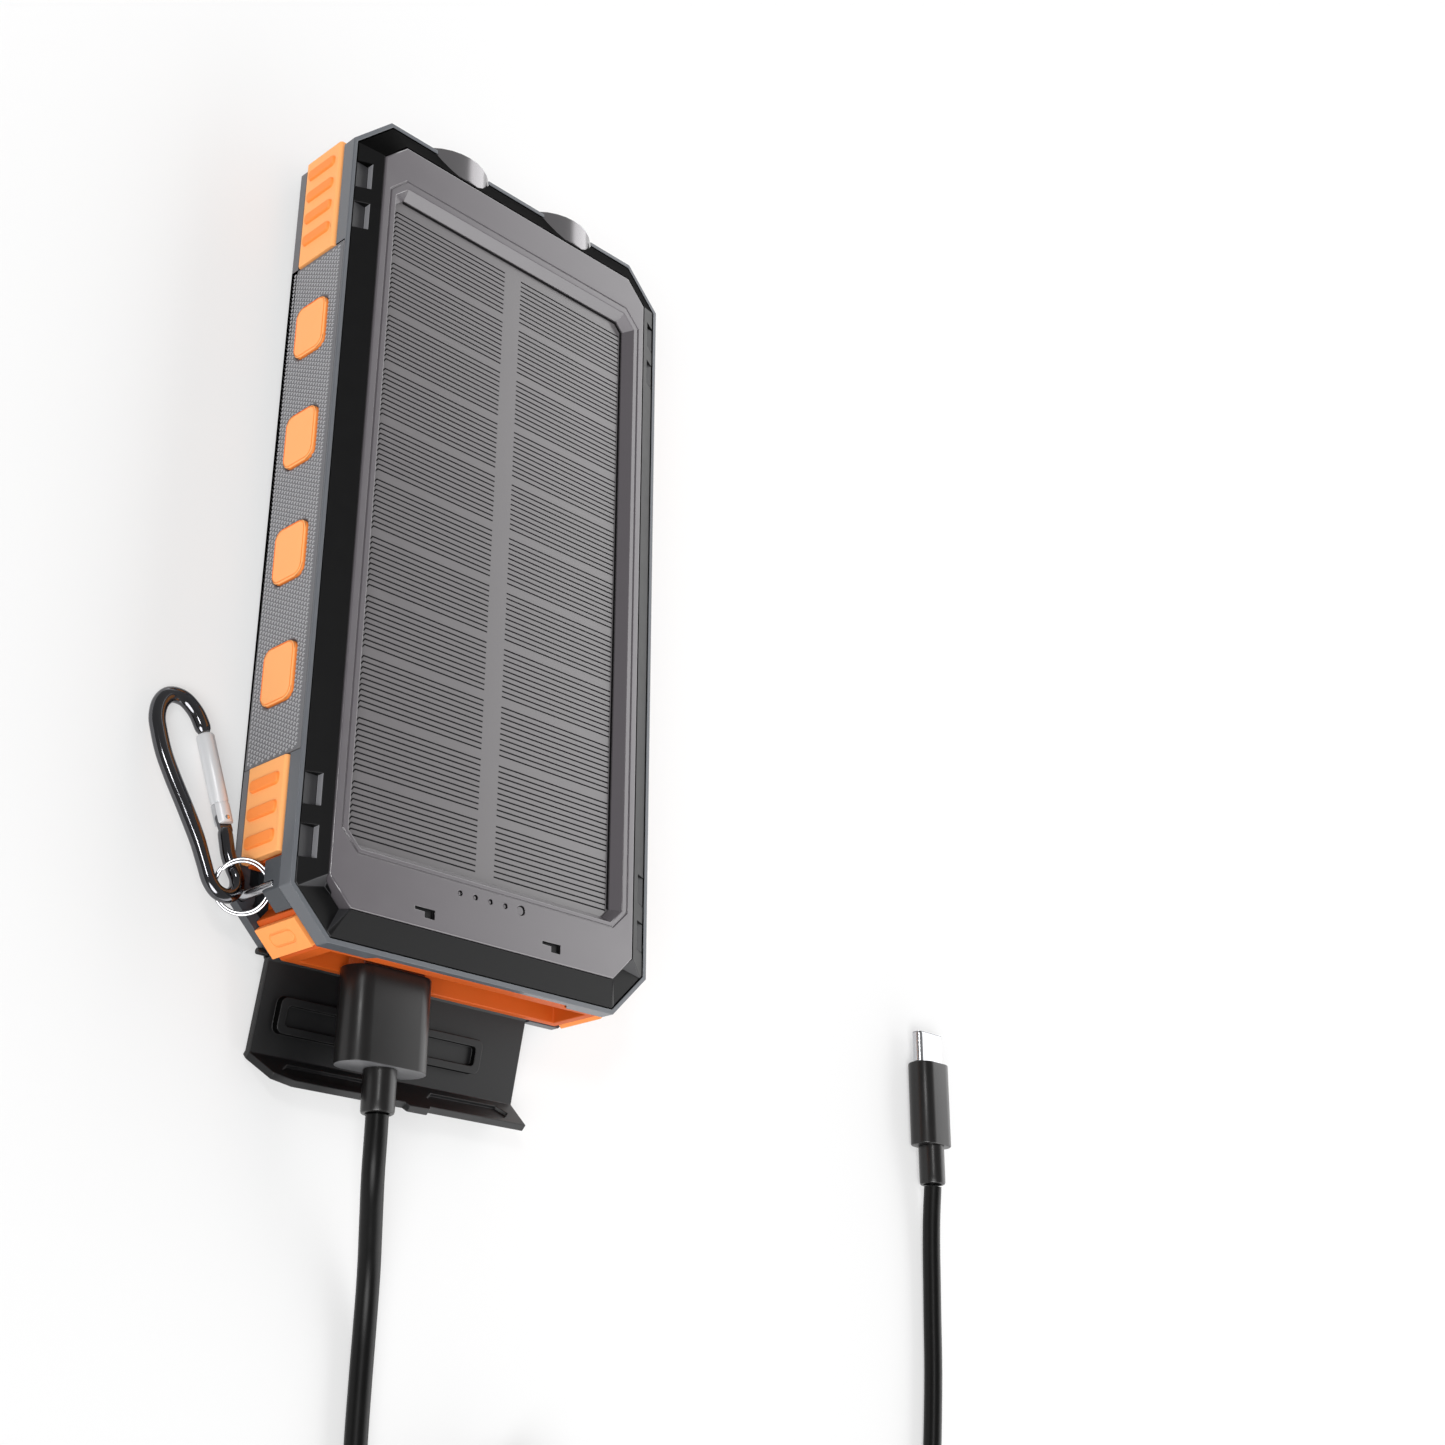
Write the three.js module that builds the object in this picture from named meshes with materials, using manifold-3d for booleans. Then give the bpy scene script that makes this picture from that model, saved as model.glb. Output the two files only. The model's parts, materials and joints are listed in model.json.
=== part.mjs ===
// Rugged solar phone charger: an octagonal, rubber-bumpered power bank with a solar panel on its face,
// two torches in its top end, a port cover, a split ring with a carabiner, and a charging cable.
// Millimetres. The charger lies on its back: +Z out of the solar panel, +Y towards the torches,
// +X to the right of the panel. The origin is the centre of the back face.

import * as THREE from 'three';
import * as BufferGeometryUtils from 'three/addons/utils/BufferGeometryUtils.js';
import Module from 'manifold-3d';

const wasm = await Module();
wasm.setup();

// ---------------------------------------------------------------- driving dimensions

const HALF_WIDTH = 37.5; // body half width at the rims
const HALF_LENGTH = 76.75; // body half length at the rims
const RIM_CHAMFER = 7.7; // corner cut of the rims
const THICKNESS = 22; // back face to front face
const FACE_HALF_WIDTH = 32; // flat front and back faces
const FACE_HALF_LENGTH = 71.3;
const FACE_CHAMFER = 4.4;
const REAR_RIM_Z = 4; // where the back's slopes meet the sides
const REAR_SEAM_Z = 5.8; // rear shell against mid frame
const FRONT_SEAM_Z = 16.8; // mid frame against front shell
const RIM_Z = 19.8; // front rim
const GAP = 0.15; // between neighbouring mouldings
const WALL = 2.2; // mid frame wall

const STRIP_THICKNESS = 1.15; // textured side strips
const STRIP_Y = [-47, 47.6];
const STRIP_Z = [4.2, 19.2];
const PAD_HEIGHT = 8.35; // grip pads on the side strips
const PAD_LENGTH = 10.2;
const PAD_RADIUS = 1.9;
const PAD_PROUD = 0.6;
const PAD_Z = 11.7;
const PAD_FIRST_Y = 33;
const PAD_PITCH = 21.75;
const PAD_COUNT = 4;

const BUMPER_Z = [6, 16.3]; // ribbed side bumpers
const TOP_BUMPER_Y = [47.9, 70.2];
const BOTTOM_BUMPER_Y = [-63.1, -47.2];
const RIDGE_HEIGHT = 7.5;
const RIDGE_LENGTH = 2;
const RIDGE_PITCH = 4.7;
const TOP_RIDGE_Y = 66.7;
const BOTTOM_RIDGE_Y = -50.8;

const PANEL_CENTRE_Y = 0.6; // solar panel and its bevelled opening
const OPENING_HALF = [27.95, 60.8];
const OPENING_OUTER_HALF = [29.25, 62.1];
const OPENING_CHAMFER = 1.7;
const PANEL_HALF = [29.5, 62.6];
const PANEL_FLOOR_Z = 19.85;

const TORCH_X = 13.1; // torches in the top end
const TORCH_Z = 11.95;
const TORCH_RADIUS = 9.65;
const TORCH_Y = [72.3, 77.6];
const REFLECTOR_RADIUS = 6.4;
const REFLECTOR_BACK_Y = 66.6;

const PORT_POCKET_X = [-26.3, 27]; // recess with the ports in the bottom end
const PORT_POCKET_Z = [7.5, 15.7];
const PORT_POCKET_DEPTH = 4.6;
const USB_A_X = [-12.3, 6.4]; // the first socket has the cable in it
const USB_A_Z = 11.45;
const USB_C_X = 20.2;

const COVER_AXIS = { y: -75.55, z: 4.7 }; // port cover hinge, along X
const COVER_X = [-30.4, 22.8];
const COVER_OPEN_DEG = 102; // from closed against the end to lying open
const COVER_LENGTH = 15.4;
const COVER_THICKNESS = 1.3;
const COVER_LIP = 5.8;
const COVER_LIP_BEND_DEG = 57;

const PLUG_HALF_WIDTH = 8.15; // USB-A plug moulding
const PLUG_RADIUS = 3.6;
const PLUG_LENGTH = 15.4;
const CABLE_DIAMETER = 3.7; // about 1 m in all: lead, coil and tail
const RELIEF_RADIUS = 2.7;
const RELIEF_LENGTH = 6.9;
const COIL_CENTRE = [24, -178];
const COIL_RADII = [17.5, 21.3, 25.1]; // turns on each of two layers
const FAR_PLUG = { x: 138.5, y: [-82, -64.5], z: 3.2, halfWidth: 4.9, radius: 3.1 };

const POST = { x: -36.7, y: -68, radius: 0.75 }; // lanyard post in the bottom left corner
const RING = { radius: 4.15, radial: 0.7, axial: 1.2 };
const RING_CENTRE = [-38.47, -67.42, 8.41];
const RING_NORMAL = [-0.568, -0.39, 0.725]; // the ring hangs slanting out of its corner
const CARABINER_WIRE = 1.15;
const CARABINER_AXIS = [-0.303, 0.935, -0.185]; // from its eye to its wide end
const CARABINER_ACROSS = [0.952, 0.308, 0];
const GATE_RADIUS = 1.5;

// ---------------------------------------------------------------- materials

const material = (color, roughness, metalness = 0) =>
  new THREE.MeshStandardMaterial({ color, roughness, metalness });

const MAUVE_GREY = material(0x8c888c, 0.5);
const SMOOTH_GREY = material(0x6d7276, 0.5);
const STRIP_GREY = material(0x77777b, 0.8);
const BLACK_RUBBER = material(0x242426, 0.6);
const BLACK_PLASTIC = material(0x2e2d2e, 0.5);
const LIGHT_ORANGE = material(0xf0a064, 0.6);
const DEEP_ORANGE = material(0xd0731c, 0.6);
const PANEL_GREY = material(0x747175, 0.35);
const DARK_CHROME = material(0x55565a, 0.15, 1);
const BRIGHT_STEEL = material(0xc8c9cc, 0.2, 1);
const CIRCUIT_GREEN = material(0x1d5a3a, 0.6);
const CELL_FOIL = material(0xa9adb2, 0.35, 0.7);
const CLEAR = material(0xdfe6ea, 0.05);

// ---------------------------------------------------------------- shape helpers

const object = new THREE.Group();
const DEG = Math.PI / 180;

/** Turn a closed three.js geometry into a manifold solid. */
function solidOf(geometry) {
  const bare = new THREE.BufferGeometry();
  bare.setAttribute('position', geometry.getAttribute('position').clone());
  if (geometry.index) bare.setIndex(geometry.index.clone());
  const merged = BufferGeometryUtils.mergeVertices(bare, 1e-4);
  return new wasm.Manifold(
    new wasm.Mesh({
      numProp: 3,
      vertProperties: new Float32Array(merged.getAttribute('position').array),
      triVerts: new Uint32Array(merged.index.array),
    })
  );
}

/** Turn a manifold solid back into a geometry. */
function geometryOf(solid) {
  const mesh = solid.getMesh();
  const geometry = new THREE.BufferGeometry();
  geometry.setAttribute('position', new THREE.BufferAttribute(mesh.vertProperties, 3));
  geometry.setIndex(new THREE.BufferAttribute(mesh.triVerts, 1));
  geometry.computeVertexNormals();
  return geometry;
}

/** Add a named piece, made of a solid or a geometry, to the object or to a group. */
function addPiece(name, shape, look, parent = object) {
  const geometry = shape.isBufferGeometry ? shape : geometryOf(shape);
  const mesh = new THREE.Mesh(geometry, look);
  mesh.name = name;
  parent.add(mesh);
  return mesh;
}

/** Corner points of a rectangle with cut corners, anticlockwise. */
function octagon([halfX, halfY], cut, centreY = 0) {
  return [
    [halfX, -halfY + cut], [halfX, halfY - cut], [halfX - cut, halfY], [-halfX + cut, halfY],
    [-halfX, halfY - cut], [-halfX, -halfY + cut], [-halfX + cut, -halfY], [halfX - cut, -halfY],
  ].map(([x, y]) => [x, y + centreY]);
}

/** A closed solid through rings of equally many points; each ring is { points, z }. */
function loft(rings) {
  const count = rings[0].points.length;
  const positions = rings.flatMap(({ points, z }) => points.flatMap(([x, y]) => [x, y, z]));
  const index = [];
  for (let ring = 0; ring + 1 < rings.length; ring++) {
    for (let i = 0; i < count; i++) {
      const a = ring * count + i;
      const b = ring * count + ((i + 1) % count);
      index.push(a, b, b + count, a, b + count, a + count);
    }
  }
  const top = (rings.length - 1) * count;
  for (let i = 1; i + 1 < count; i++) {
    index.push(0, i + 1, i);
    index.push(top, top + i, top + i + 1);
  }
  const geometry = new THREE.BufferGeometry();
  geometry.setAttribute('position', new THREE.Float32BufferAttribute(positions, 3));
  geometry.setIndex(index);
  return solidOf(geometry);
}

/** An upright prism over a list of [x, y] corner points. */
function prism(points, z0, z1) {
  const shape = new THREE.Shape(points.map(([x, y]) => new THREE.Vector2(x, y)));
  const geometry = new THREE.ExtrudeGeometry(shape, { depth: z1 - z0, bevelEnabled: false });
  return solidOf(geometry.translate(0, 0, z0));
}

/** A box from its lowest to its highest corner. */
function box([x0, x1], [y0, y1], [z0, z1]) {
  const geometry = new THREE.BoxGeometry(x1 - x0, y1 - y0, z1 - z0);
  return solidOf(geometry.translate((x0 + x1) / 2, (y0 + y1) / 2, (z0 + z1) / 2));
}

/** A cylinder or cone along Y. */
function barrelY(x, z, radius, y0, y1, segments = 32, endRadius = radius) {
  const geometry = new THREE.CylinderGeometry(endRadius, radius, y1 - y0, segments);
  return solidOf(geometry.translate(x, (y0 + y1) / 2, z));
}

/** A cylinder along Z. */
function barrelZ(x, y, radius, z0, z1, segments = 16) {
  const geometry = new THREE.CylinderGeometry(radius, radius, z1 - z0, segments).rotateX(90 * DEG);
  return solidOf(geometry.translate(x, y, (z0 + z1) / 2));
}

/** A cylinder along X. */
function barrelX(y, z, radius, x0, x1, segments = 16) {
  const geometry = new THREE.CylinderGeometry(radius, radius, x1 - x0, segments).rotateZ(90 * DEG);
  return solidOf(geometry.translate((x0 + x1) / 2, y, z));
}

/** Outline of a rounded rectangle centred on the origin. */
function roundedRectangle(halfX, halfY, radius, steps = 4) {
  const points = [];
  const corners = [[1, -1, -90], [1, 1, 0], [-1, 1, 90], [-1, -1, 180]];
  for (const [sx, sy, start] of corners) {
    for (let i = 0; i <= steps; i++) {
      const angle = (start + (90 * i) / steps) * DEG;
      const x = sx * (halfX - radius) + radius * Math.cos(angle);
      const y = sy * (halfY - radius) + radius * Math.sin(angle);
      const last = points[points.length - 1];
      if (!last || Math.hypot(x - last[0], y - last[1]) > 1e-3) points.push([x, y]);
    }
  }
  const [first, last] = [points[0], points[points.length - 1]];
  if (Math.hypot(first[0] - last[0], first[1] - last[1]) < 1e-3) points.pop();
  return points;
}

/** A rounded bar along Y: its outline lies in X and Z. */
function roundedBarY(x, z, halfX, halfZ, radius, y0, y1, steps = 4) {
  return prism(roundedRectangle(halfX, halfZ, radius, steps), 0, y1 - y0)
    .rotate([90, 0, 0])
    .translate([x, y1, z]);
}

/** A rounded plate on a side wall: outline in Y and Z, from x0 out to x1. */
function roundedPlateX(y, z, halfY, halfZ, radius, x0, x1, steps = 4) {
  return prism(roundedRectangle(halfY, halfZ, radius, steps), 0, x1 - x0)
    .rotate([90, 0, 90])
    .translate([x0, y, z]);
}

/** A tube of round section along a curve. */
function tubeAlong(curve, radius, steps, sides = 8) {
  const section = new THREE.Shape();
  section.absarc(0, 0, radius, 0, 2 * Math.PI, false);
  return new THREE.ExtrudeGeometry(section, {
    steps, curveSegments: sides / 2, bevelEnabled: false, extrudePath: curve,
  });
}

const bodyOutline = octagon([HALF_WIDTH, HALF_LENGTH], RIM_CHAMFER);
const insetOutline = (inset) =>
  octagon([HALF_WIDTH - inset, HALF_LENGTH - inset], RIM_CHAMFER - inset * 0.59);
const faceOutline = (inset) =>
  octagon([FACE_HALF_WIDTH - inset, FACE_HALF_LENGTH - inset], FACE_CHAMFER - inset * 0.59);
const torchHoles = (radius, y0, y1) =>
  barrelY(-TORCH_X, TORCH_Z, radius, y0, y1).add(barrelY(TORCH_X, TORCH_Z, radius, y0, y1));
const mirrorX = (solid) => solid.mirror([1, 0, 0]);

// The corner pocket for the lanyard ring, and the post that stands in it.
const pocketOutline = [
  [-31.9, -63.4], [-39, -63.4], [-39, -80], [-34.2, -80],
  [-34.2, -71.9], [-31.9, -69.2],
];

/** A box laid along the slanted bottom right corner: x towards the side, y into the body. */
function cornerBox(x, y, z) {
  return box(x, y, z).rotate([0, 0, 45])
    .translate([HALF_WIDTH - RIM_CHAMFER / 2, -HALF_LENGTH + RIM_CHAMFER / 2, 0]);
}

// Room for the right side strip in the shells.
const stripBed = box([HALF_WIDTH - STRIP_THICKNESS - GAP, 40], [STRIP_Y[0] - GAP, STRIP_Y[1] + GAP],
  [STRIP_Z[0] - GAP, STRIP_Z[1] + GAP]);

// ---------------------------------------------------------------- rear shell and screws

const SCREW_PLACES = [[-24.5, 62], [24.5, 62], [-24.5, -60], [24.5, -60]];
const SCREW_HEAD_RADIUS = 2.3;
const SCREW_SHANK_RADIUS = 1.1;

function makeRearShell() {
  let shell = loft([
    { points: faceOutline(0), z: 0 },
    { points: bodyOutline, z: REAR_RIM_Z },
    { points: bodyOutline, z: REAR_SEAM_Z },
  ]);
  shell = shell.subtract(loft([
    { points: faceOutline(0.6), z: 1.8 },
    { points: insetOutline(2), z: REAR_RIM_Z + 0.6 },
    { points: insetOutline(2), z: REAR_SEAM_Z + 1 },
  ]));
  for (const [x, y] of SCREW_PLACES) shell = shell.add(barrelZ(x, y, 4, 1.5, REAR_SEAM_Z - 0.2));
  shell = shell.add(barrelZ(POST.x + 0.3, POST.y + 0.2, 2.2, 1.5, REAR_SEAM_Z).intersect(loft([
    { points: faceOutline(0), z: 0 },
    { points: bodyOutline, z: REAR_RIM_Z },
    { points: bodyOutline, z: REAR_SEAM_Z },
  ])));
  for (const [x, y] of SCREW_PLACES) {
    shell = shell.subtract(barrelZ(x, y, SCREW_HEAD_RADIUS + 0.3, -1, 2));
    shell = shell.subtract(barrelZ(x, y, SCREW_SHANK_RADIUS + 0.3, 0, REAR_SEAM_Z + 1));
  }
  shell = shell.subtract(barrelZ(POST.x, POST.y, POST.radius + 0.1, 2.8, REAR_SEAM_Z + 1));
  shell = shell.subtract(torchHoles(TORCH_RADIUS + 0.25, TORCH_Y[0] - 0.5, 90));
  shell = shell.subtract(stripBed).subtract(mirrorX(stripBed));
  // the hinge bay of the port cover, open to the end and to the sloping edge
  const bay = prism([
    [COVER_AXIS.y + 1.7, COVER_AXIS.z - 1.75], [COVER_AXIS.y + 1.7, 8], [-80, 8], [-80, 0.9],
  ], 0, COVER_X[1] - COVER_X[0] + 0.6).rotate([90, 0, 90]).translate([COVER_X[0] - 0.3, 0, 0]);
  shell = shell.subtract(bay);
  shell = shell.subtract(barrelX(COVER_AXIS.y, COVER_AXIS.z, 0.7, COVER_X[0] - 2.2, COVER_X[1] + 2.2));
  // shallow grooves that frame the back face
  const groove = prism(faceOutline(3), -1, 0.4).subtract(prism(faceOutline(3.6), -2, 1));
  shell = shell.subtract(groove);
  const plateEdge = prism(octagon([22, 50], 5), -1, 0.45).subtract(prism(octagon([21.3, 49.3], 4.7), -2, 1));
  shell = shell.subtract(plateEdge);
  for (const y of [-36, -31, -26, 26, 31, 36]) {
    shell = shell.subtract(box([-14, 14], [y - 0.6, y + 0.6], [-1, 0.5]));
  }
  return shell;
}
addPiece('rear_shell', makeRearShell(), SMOOTH_GREY);

SCREW_PLACES.forEach(([x, y], i) => {
  const head = barrelZ(x, y, SCREW_HEAD_RADIUS, 0.6, 1.9);
  const shank = barrelZ(x, y, SCREW_SHANK_RADIUS, 1.8, 11, 16);
  const cross = box([x - 1.3, x + 1.3], [y - 0.25, y + 0.25], [0, 1.2])
    .add(box([x - 0.25, x + 0.25], [y - 1.3, y + 1.3], [0, 1.2]));
  addPiece(`rear_screw_${i + 1}`, head.add(shank).subtract(cross), BRIGHT_STEEL);
});

// ---------------------------------------------------------------- mid frame

const FRAME_Z = [REAR_SEAM_Z + GAP, FRONT_SEAM_Z - GAP];

/** The raised tab in the middle of the frame's end face, with slanted ends, or the room for it. */
function endTab([z0, z1], [y0, y1], grow = 0) {
  const flare = 0.75 * (z1 - z0);
  return prism([
    [-20.5 - grow, z0], [21.5 + grow, z0], [21.5 + grow - flare, z1], [-20.5 - grow + flare, z1],
  ], 0, y1 - y0).rotate([90, 0, 0]).translate([0, y1, 0]);
}

function makeMidFrame() {
  const outline = octagon([HALF_WIDTH - STRIP_THICKNESS - GAP, HALF_LENGTH - 0.1], 6.55);
  let frame = prism(outline, ...FRAME_Z);
  const cavity = [
    [34, -47], [34, 56], [29, 61], [-29, 61], [-34, 56], [-34, -56],
    [-27, -63], [-27, -70], [30, -70], [34, -66],
  ];
  frame = frame.subtract(prism(cavity, 0, 30));
  const cornerCut = cornerBox([-12, 12], [-6, 0.85], [0, 30]);
  frame = frame.subtract(cornerCut).subtract(mirrorX(cornerCut));
  for (const [x, y] of SCREW_PLACES) {
    frame = frame.add(barrelZ(x, y, 3, FRAME_Z[0] + 0.3, FRAME_Z[1] - 0.4));
    frame = frame.add(box(
      x > 0 ? [x, 35] : [-35, x], [y - 1, y + 1], [FRAME_Z[0] + 0.3, FRAME_Z[1] - 0.4]
    ));
  }
  for (const [x, y] of SCREW_PLACES) {
    frame = frame.subtract(barrelZ(x, y, SCREW_SHANK_RADIUS + 0.25, 0, 13));
  }
  frame = frame.add(endTab([FRONT_SEAM_Z - 0.4, 18], [-HALF_LENGTH + 0.1, -HALF_LENGTH + 1.4]));
  // port recess and the openings of the three sockets
  const recess = prism([
    [PORT_POCKET_X[0], PORT_POCKET_Z[0]], [PORT_POCKET_X[1], PORT_POCKET_Z[0]],
    [PORT_POCKET_X[1], PORT_POCKET_Z[1]], [PORT_POCKET_X[0], PORT_POCKET_Z[1]],
  ], 0, PORT_POCKET_DEPTH + 3).rotate([90, 0, 0])
    .translate([0, -HALF_LENGTH + PORT_POCKET_DEPTH, 0]);
  frame = frame.subtract(recess);
  for (const x of USB_A_X) {
    frame = frame.subtract(box([x - 7, x + 7], [-80, -60], [USB_A_Z - 3.3, USB_A_Z + 3.3]));
  }
  frame = frame.subtract(roundedBarY(USB_C_X, USB_A_Z, 4.9, 2.1, 2, -80, -60));
  // torch seats
  frame = frame.subtract(torchHoles(TORCH_RADIUS + 0.25, TORCH_Y[0] - 0.5, 90));
  frame = frame.subtract(torchHoles(REFLECTOR_RADIUS + 0.3, REFLECTOR_BACK_Y - 0.6, 90));
  frame = frame.subtract(torchHoles(2, 55, 90));
  // lanyard pocket
  frame = frame.subtract(prism(pocketOutline, 0, 30));
  // room for the power button's plunger in the right wall
  frame = frame.subtract(box([33, 38], [PAD_FIRST_Y - 2.3, PAD_FIRST_Y + 2.3], [PAD_Z - 2.3, PAD_Z + 2.3]));
  return frame;
}
addPiece('mid_frame', makeMidFrame(), DEEP_ORANGE);

// ---------------------------------------------------------------- front shell, band and bezel

/** Notches in the sloping band: four a side and one in each bottom corner. */
function bandNotches() {
  const notches = [];
  for (const y of [61.9, 53.4, -53.4, -61.9]) {
    notches.push(box([33.95, 36.7], [y - 2.65, y + 2.65], [19.65, 23]));
  }
  const floor = [
    [28.05, -70.8], [30.2, -75.3], [31.2, -80], [39, -80], [39, -69.6], [36.2, -69.2], [31.1, -68.2],
  ];
  const brim = [
    [27.5, -71.1], [29.9, -76.3], [30.6, -80], [39.5, -80], [39.5, -68.6], [37.2, -68.3], [32.1, -66.75],
  ];
  notches.push(loft([{ points: floor, z: 19.6 }, { points: brim, z: THICKNESS }, { points: brim, z: 23 }]));
  return notches.reduce((all, notch) => all.add(notch).add(mirrorX(notch)), notches[0]);
}

const INDICATOR_X = [-6.65, -3.45, -0.28, 2.9, 6.3];
const INDICATOR_Y = -64;
const INDICATOR_RADII = [0.45, 0.45, 0.45, 0.45, 0.85];

function makeFrontShell() {
  let shell = prism(bodyOutline, FRONT_SEAM_Z, RIM_Z);
  shell = shell.subtract(prism(insetOutline(0.85), 18.4, 30));
  shell = shell.subtract(prism([[30.5, -61], [30.5, 61], [-30.5, 61], [-30.5, -61]], 0, 30));
  shell = shell.subtract(stripBed).subtract(mirrorX(stripBed));
  shell = shell.subtract(torchHoles(TORCH_RADIUS + 0.25, TORCH_Y[0] - 0.5, 90));
  shell = shell.subtract(torchHoles(REFLECTOR_RADIUS + 0.3, REFLECTOR_BACK_Y - 0.6, 90));
  shell = shell.subtract(box([-9.3, 9.3], [INDICATOR_Y - 1.7, INDICATOR_Y + 1.7], [10, 30]));
  shell = shell.subtract(endTab([FRONT_SEAM_Z - 0.4, 18.25], [-HALF_LENGTH - 1, -HALF_LENGTH + 1.65], 0.3));
  return shell;
}
addPiece('front_shell', makeFrontShell(), SMOOTH_GREY);

function makeFrontBand() {
  let band = loft([
    { points: insetOutline(1), z: 18.55 },
    { points: insetOutline(1), z: RIM_Z - 0.1 },
    { points: faceOutline(-0.15), z: THICKNESS - 0.1 },
  ]);
  band = band.subtract(prism(faceOutline(-0.15), 10, 30));
  band = band.subtract(bandNotches());
  return band.subtract(torchHoles(TORCH_RADIUS + 0.2, TORCH_Y[0] - 0.5, 90));
}
addPiece('front_band', makeFrontBand(), BLACK_RUBBER);

function makeFrontBezel() {
  let bezel = loft([
    { points: faceOutline(0), z: 18.55 },
    { points: faceOutline(0), z: THICKNESS - 0.2 },
    { points: faceOutline(0.2), z: THICKNESS },
  ]);
  const bed = octagon([PANEL_HALF[0] + 0.4, PANEL_HALF[1] + 0.4], 2, PANEL_CENTRE_Y);
  bezel = bezel.subtract(prism(bed, 10, PANEL_FLOOR_Z));
  bezel = bezel.subtract(loft([
    { points: octagon(OPENING_HALF, OPENING_CHAMFER, PANEL_CENTRE_Y), z: PANEL_FLOOR_Z - 0.5 },
    { points: octagon(OPENING_HALF, OPENING_CHAMFER, PANEL_CENTRE_Y), z: PANEL_FLOOR_Z + 0.3 },
    { points: octagon(OPENING_OUTER_HALF, OPENING_CHAMFER + 0.9, PANEL_CENTRE_Y), z: THICKNESS },
    { points: octagon(OPENING_OUTER_HALF, OPENING_CHAMFER + 0.9, PANEL_CENTRE_Y), z: THICKNESS + 1 },
  ]));
  // a fine groove around the opening
  const groove = prism(octagon([30.55, 63.35], 3.4, 0.95), THICKNESS - 0.25, 30)
    .subtract(prism(octagon([30.25, 63.05], 3.25, 0.95), 0, 40));
  bezel = bezel.subtract(groove);
  INDICATOR_X.forEach((x, i) => {
    bezel = bezel.subtract(barrelZ(x, INDICATOR_Y, INDICATOR_RADII[i], 10, 30, 16));
  });
  // flag-shaped recesses beside the indicators
  for (const x of [-15.5, 11.25]) {
    bezel = bezel.subtract(box([x, x + 3.95], [-68.6, -68.1], [THICKNESS - 0.5, 30]));
    bezel = bezel.subtract(box([x + 2, x + 3.95], [-69.6, -68.4], [THICKNESS - 0.5, 30]));
  }
  return bezel;
}
addPiece('front_bezel', makeFrontBezel(), MAUVE_GREY);

addPiece('solar_panel', prism(octagon(PANEL_HALF, 1.8, PANEL_CENTRE_Y), 18.55, PANEL_FLOOR_Z - 0.1), PANEL_GREY);

const lightGuide = INDICATOR_X.reduce(
  (guide, x, i) => guide.add(barrelZ(x, INDICATOR_Y, INDICATOR_RADII[i] - 0.1, 17, THICKNESS - 0.25, 12)),
  box([-9, 9], [INDICATOR_Y - 1.4, INDICATOR_Y + 1.4], [16.9, 18.3])
);
addPiece('indicator_light_guide', lightGuide, CLEAR);

// ---------------------------------------------------------------- side strips, pads and power button

const stripOuter = HALF_WIDTH - 0.05;
const padPlaces = Array.from({ length: PAD_COUNT }, (_, i) => PAD_FIRST_Y - i * PAD_PITCH);

function makeStrip(side) {
  let strip = box([stripOuter - STRIP_THICKNESS + GAP, stripOuter], STRIP_Y, STRIP_Z);
  strip = strip.subtract(box([30, HALF_WIDTH - 0.85], [-50, 50], [18.3, 30]));
  for (const y of padPlaces) {
    const isButton = side > 0 && y === PAD_FIRST_Y;
    const depth = isButton ? 35 : stripOuter - 0.75;
    strip = strip.subtract(roundedPlateX(
      y, PAD_Z, PAD_LENGTH / 2 + 0.2, PAD_HEIGHT / 2 + 0.2, PAD_RADIUS, depth, 40
    ));
  }
  return side > 0 ? strip : mirrorX(strip);
}
addPiece('side_strip_left', makeStrip(-1), STRIP_GREY);
addPiece('side_strip_right', makeStrip(1), STRIP_GREY);

function makePad(y) {
  const halfY = PAD_LENGTH / 2;
  const halfZ = PAD_HEIGHT / 2;
  return roundedPlateX(y, PAD_Z, halfY, halfZ, PAD_RADIUS, stripOuter - 0.7, stripOuter + PAD_PROUD - 0.25)
    .add(roundedPlateX(y, PAD_Z, halfY - 0.25, halfZ - 0.25, PAD_RADIUS - 0.25,
      stripOuter, stripOuter + PAD_PROUD));
}
padPlaces.forEach((y, i) => {
  addPiece(`grip_pad_left_${i + 1}`, mirrorX(makePad(y)), LIGHT_ORANGE);
  if (i > 0) addPiece(`grip_pad_right_${i}`, makePad(y), LIGHT_ORANGE);
});
const button = makePad(PAD_FIRST_Y).add(
  roundedPlateX(PAD_FIRST_Y, PAD_Z, 1.6, 1.6, 0.6, 33.4, stripOuter)
);
addPiece('power_button', button, LIGHT_ORANGE);
addPiece('button_switch', box([31.3, 32.9], [PAD_FIRST_Y - 3, PAD_FIRST_Y + 3], [PAD_Z - 3, PAD_Z + 3]),
  BLACK_PLASTIC);

// ---------------------------------------------------------------- ribbed bumpers

const bumperInner = HALF_WIDTH - STRIP_THICKNESS - 0.03;

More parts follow.
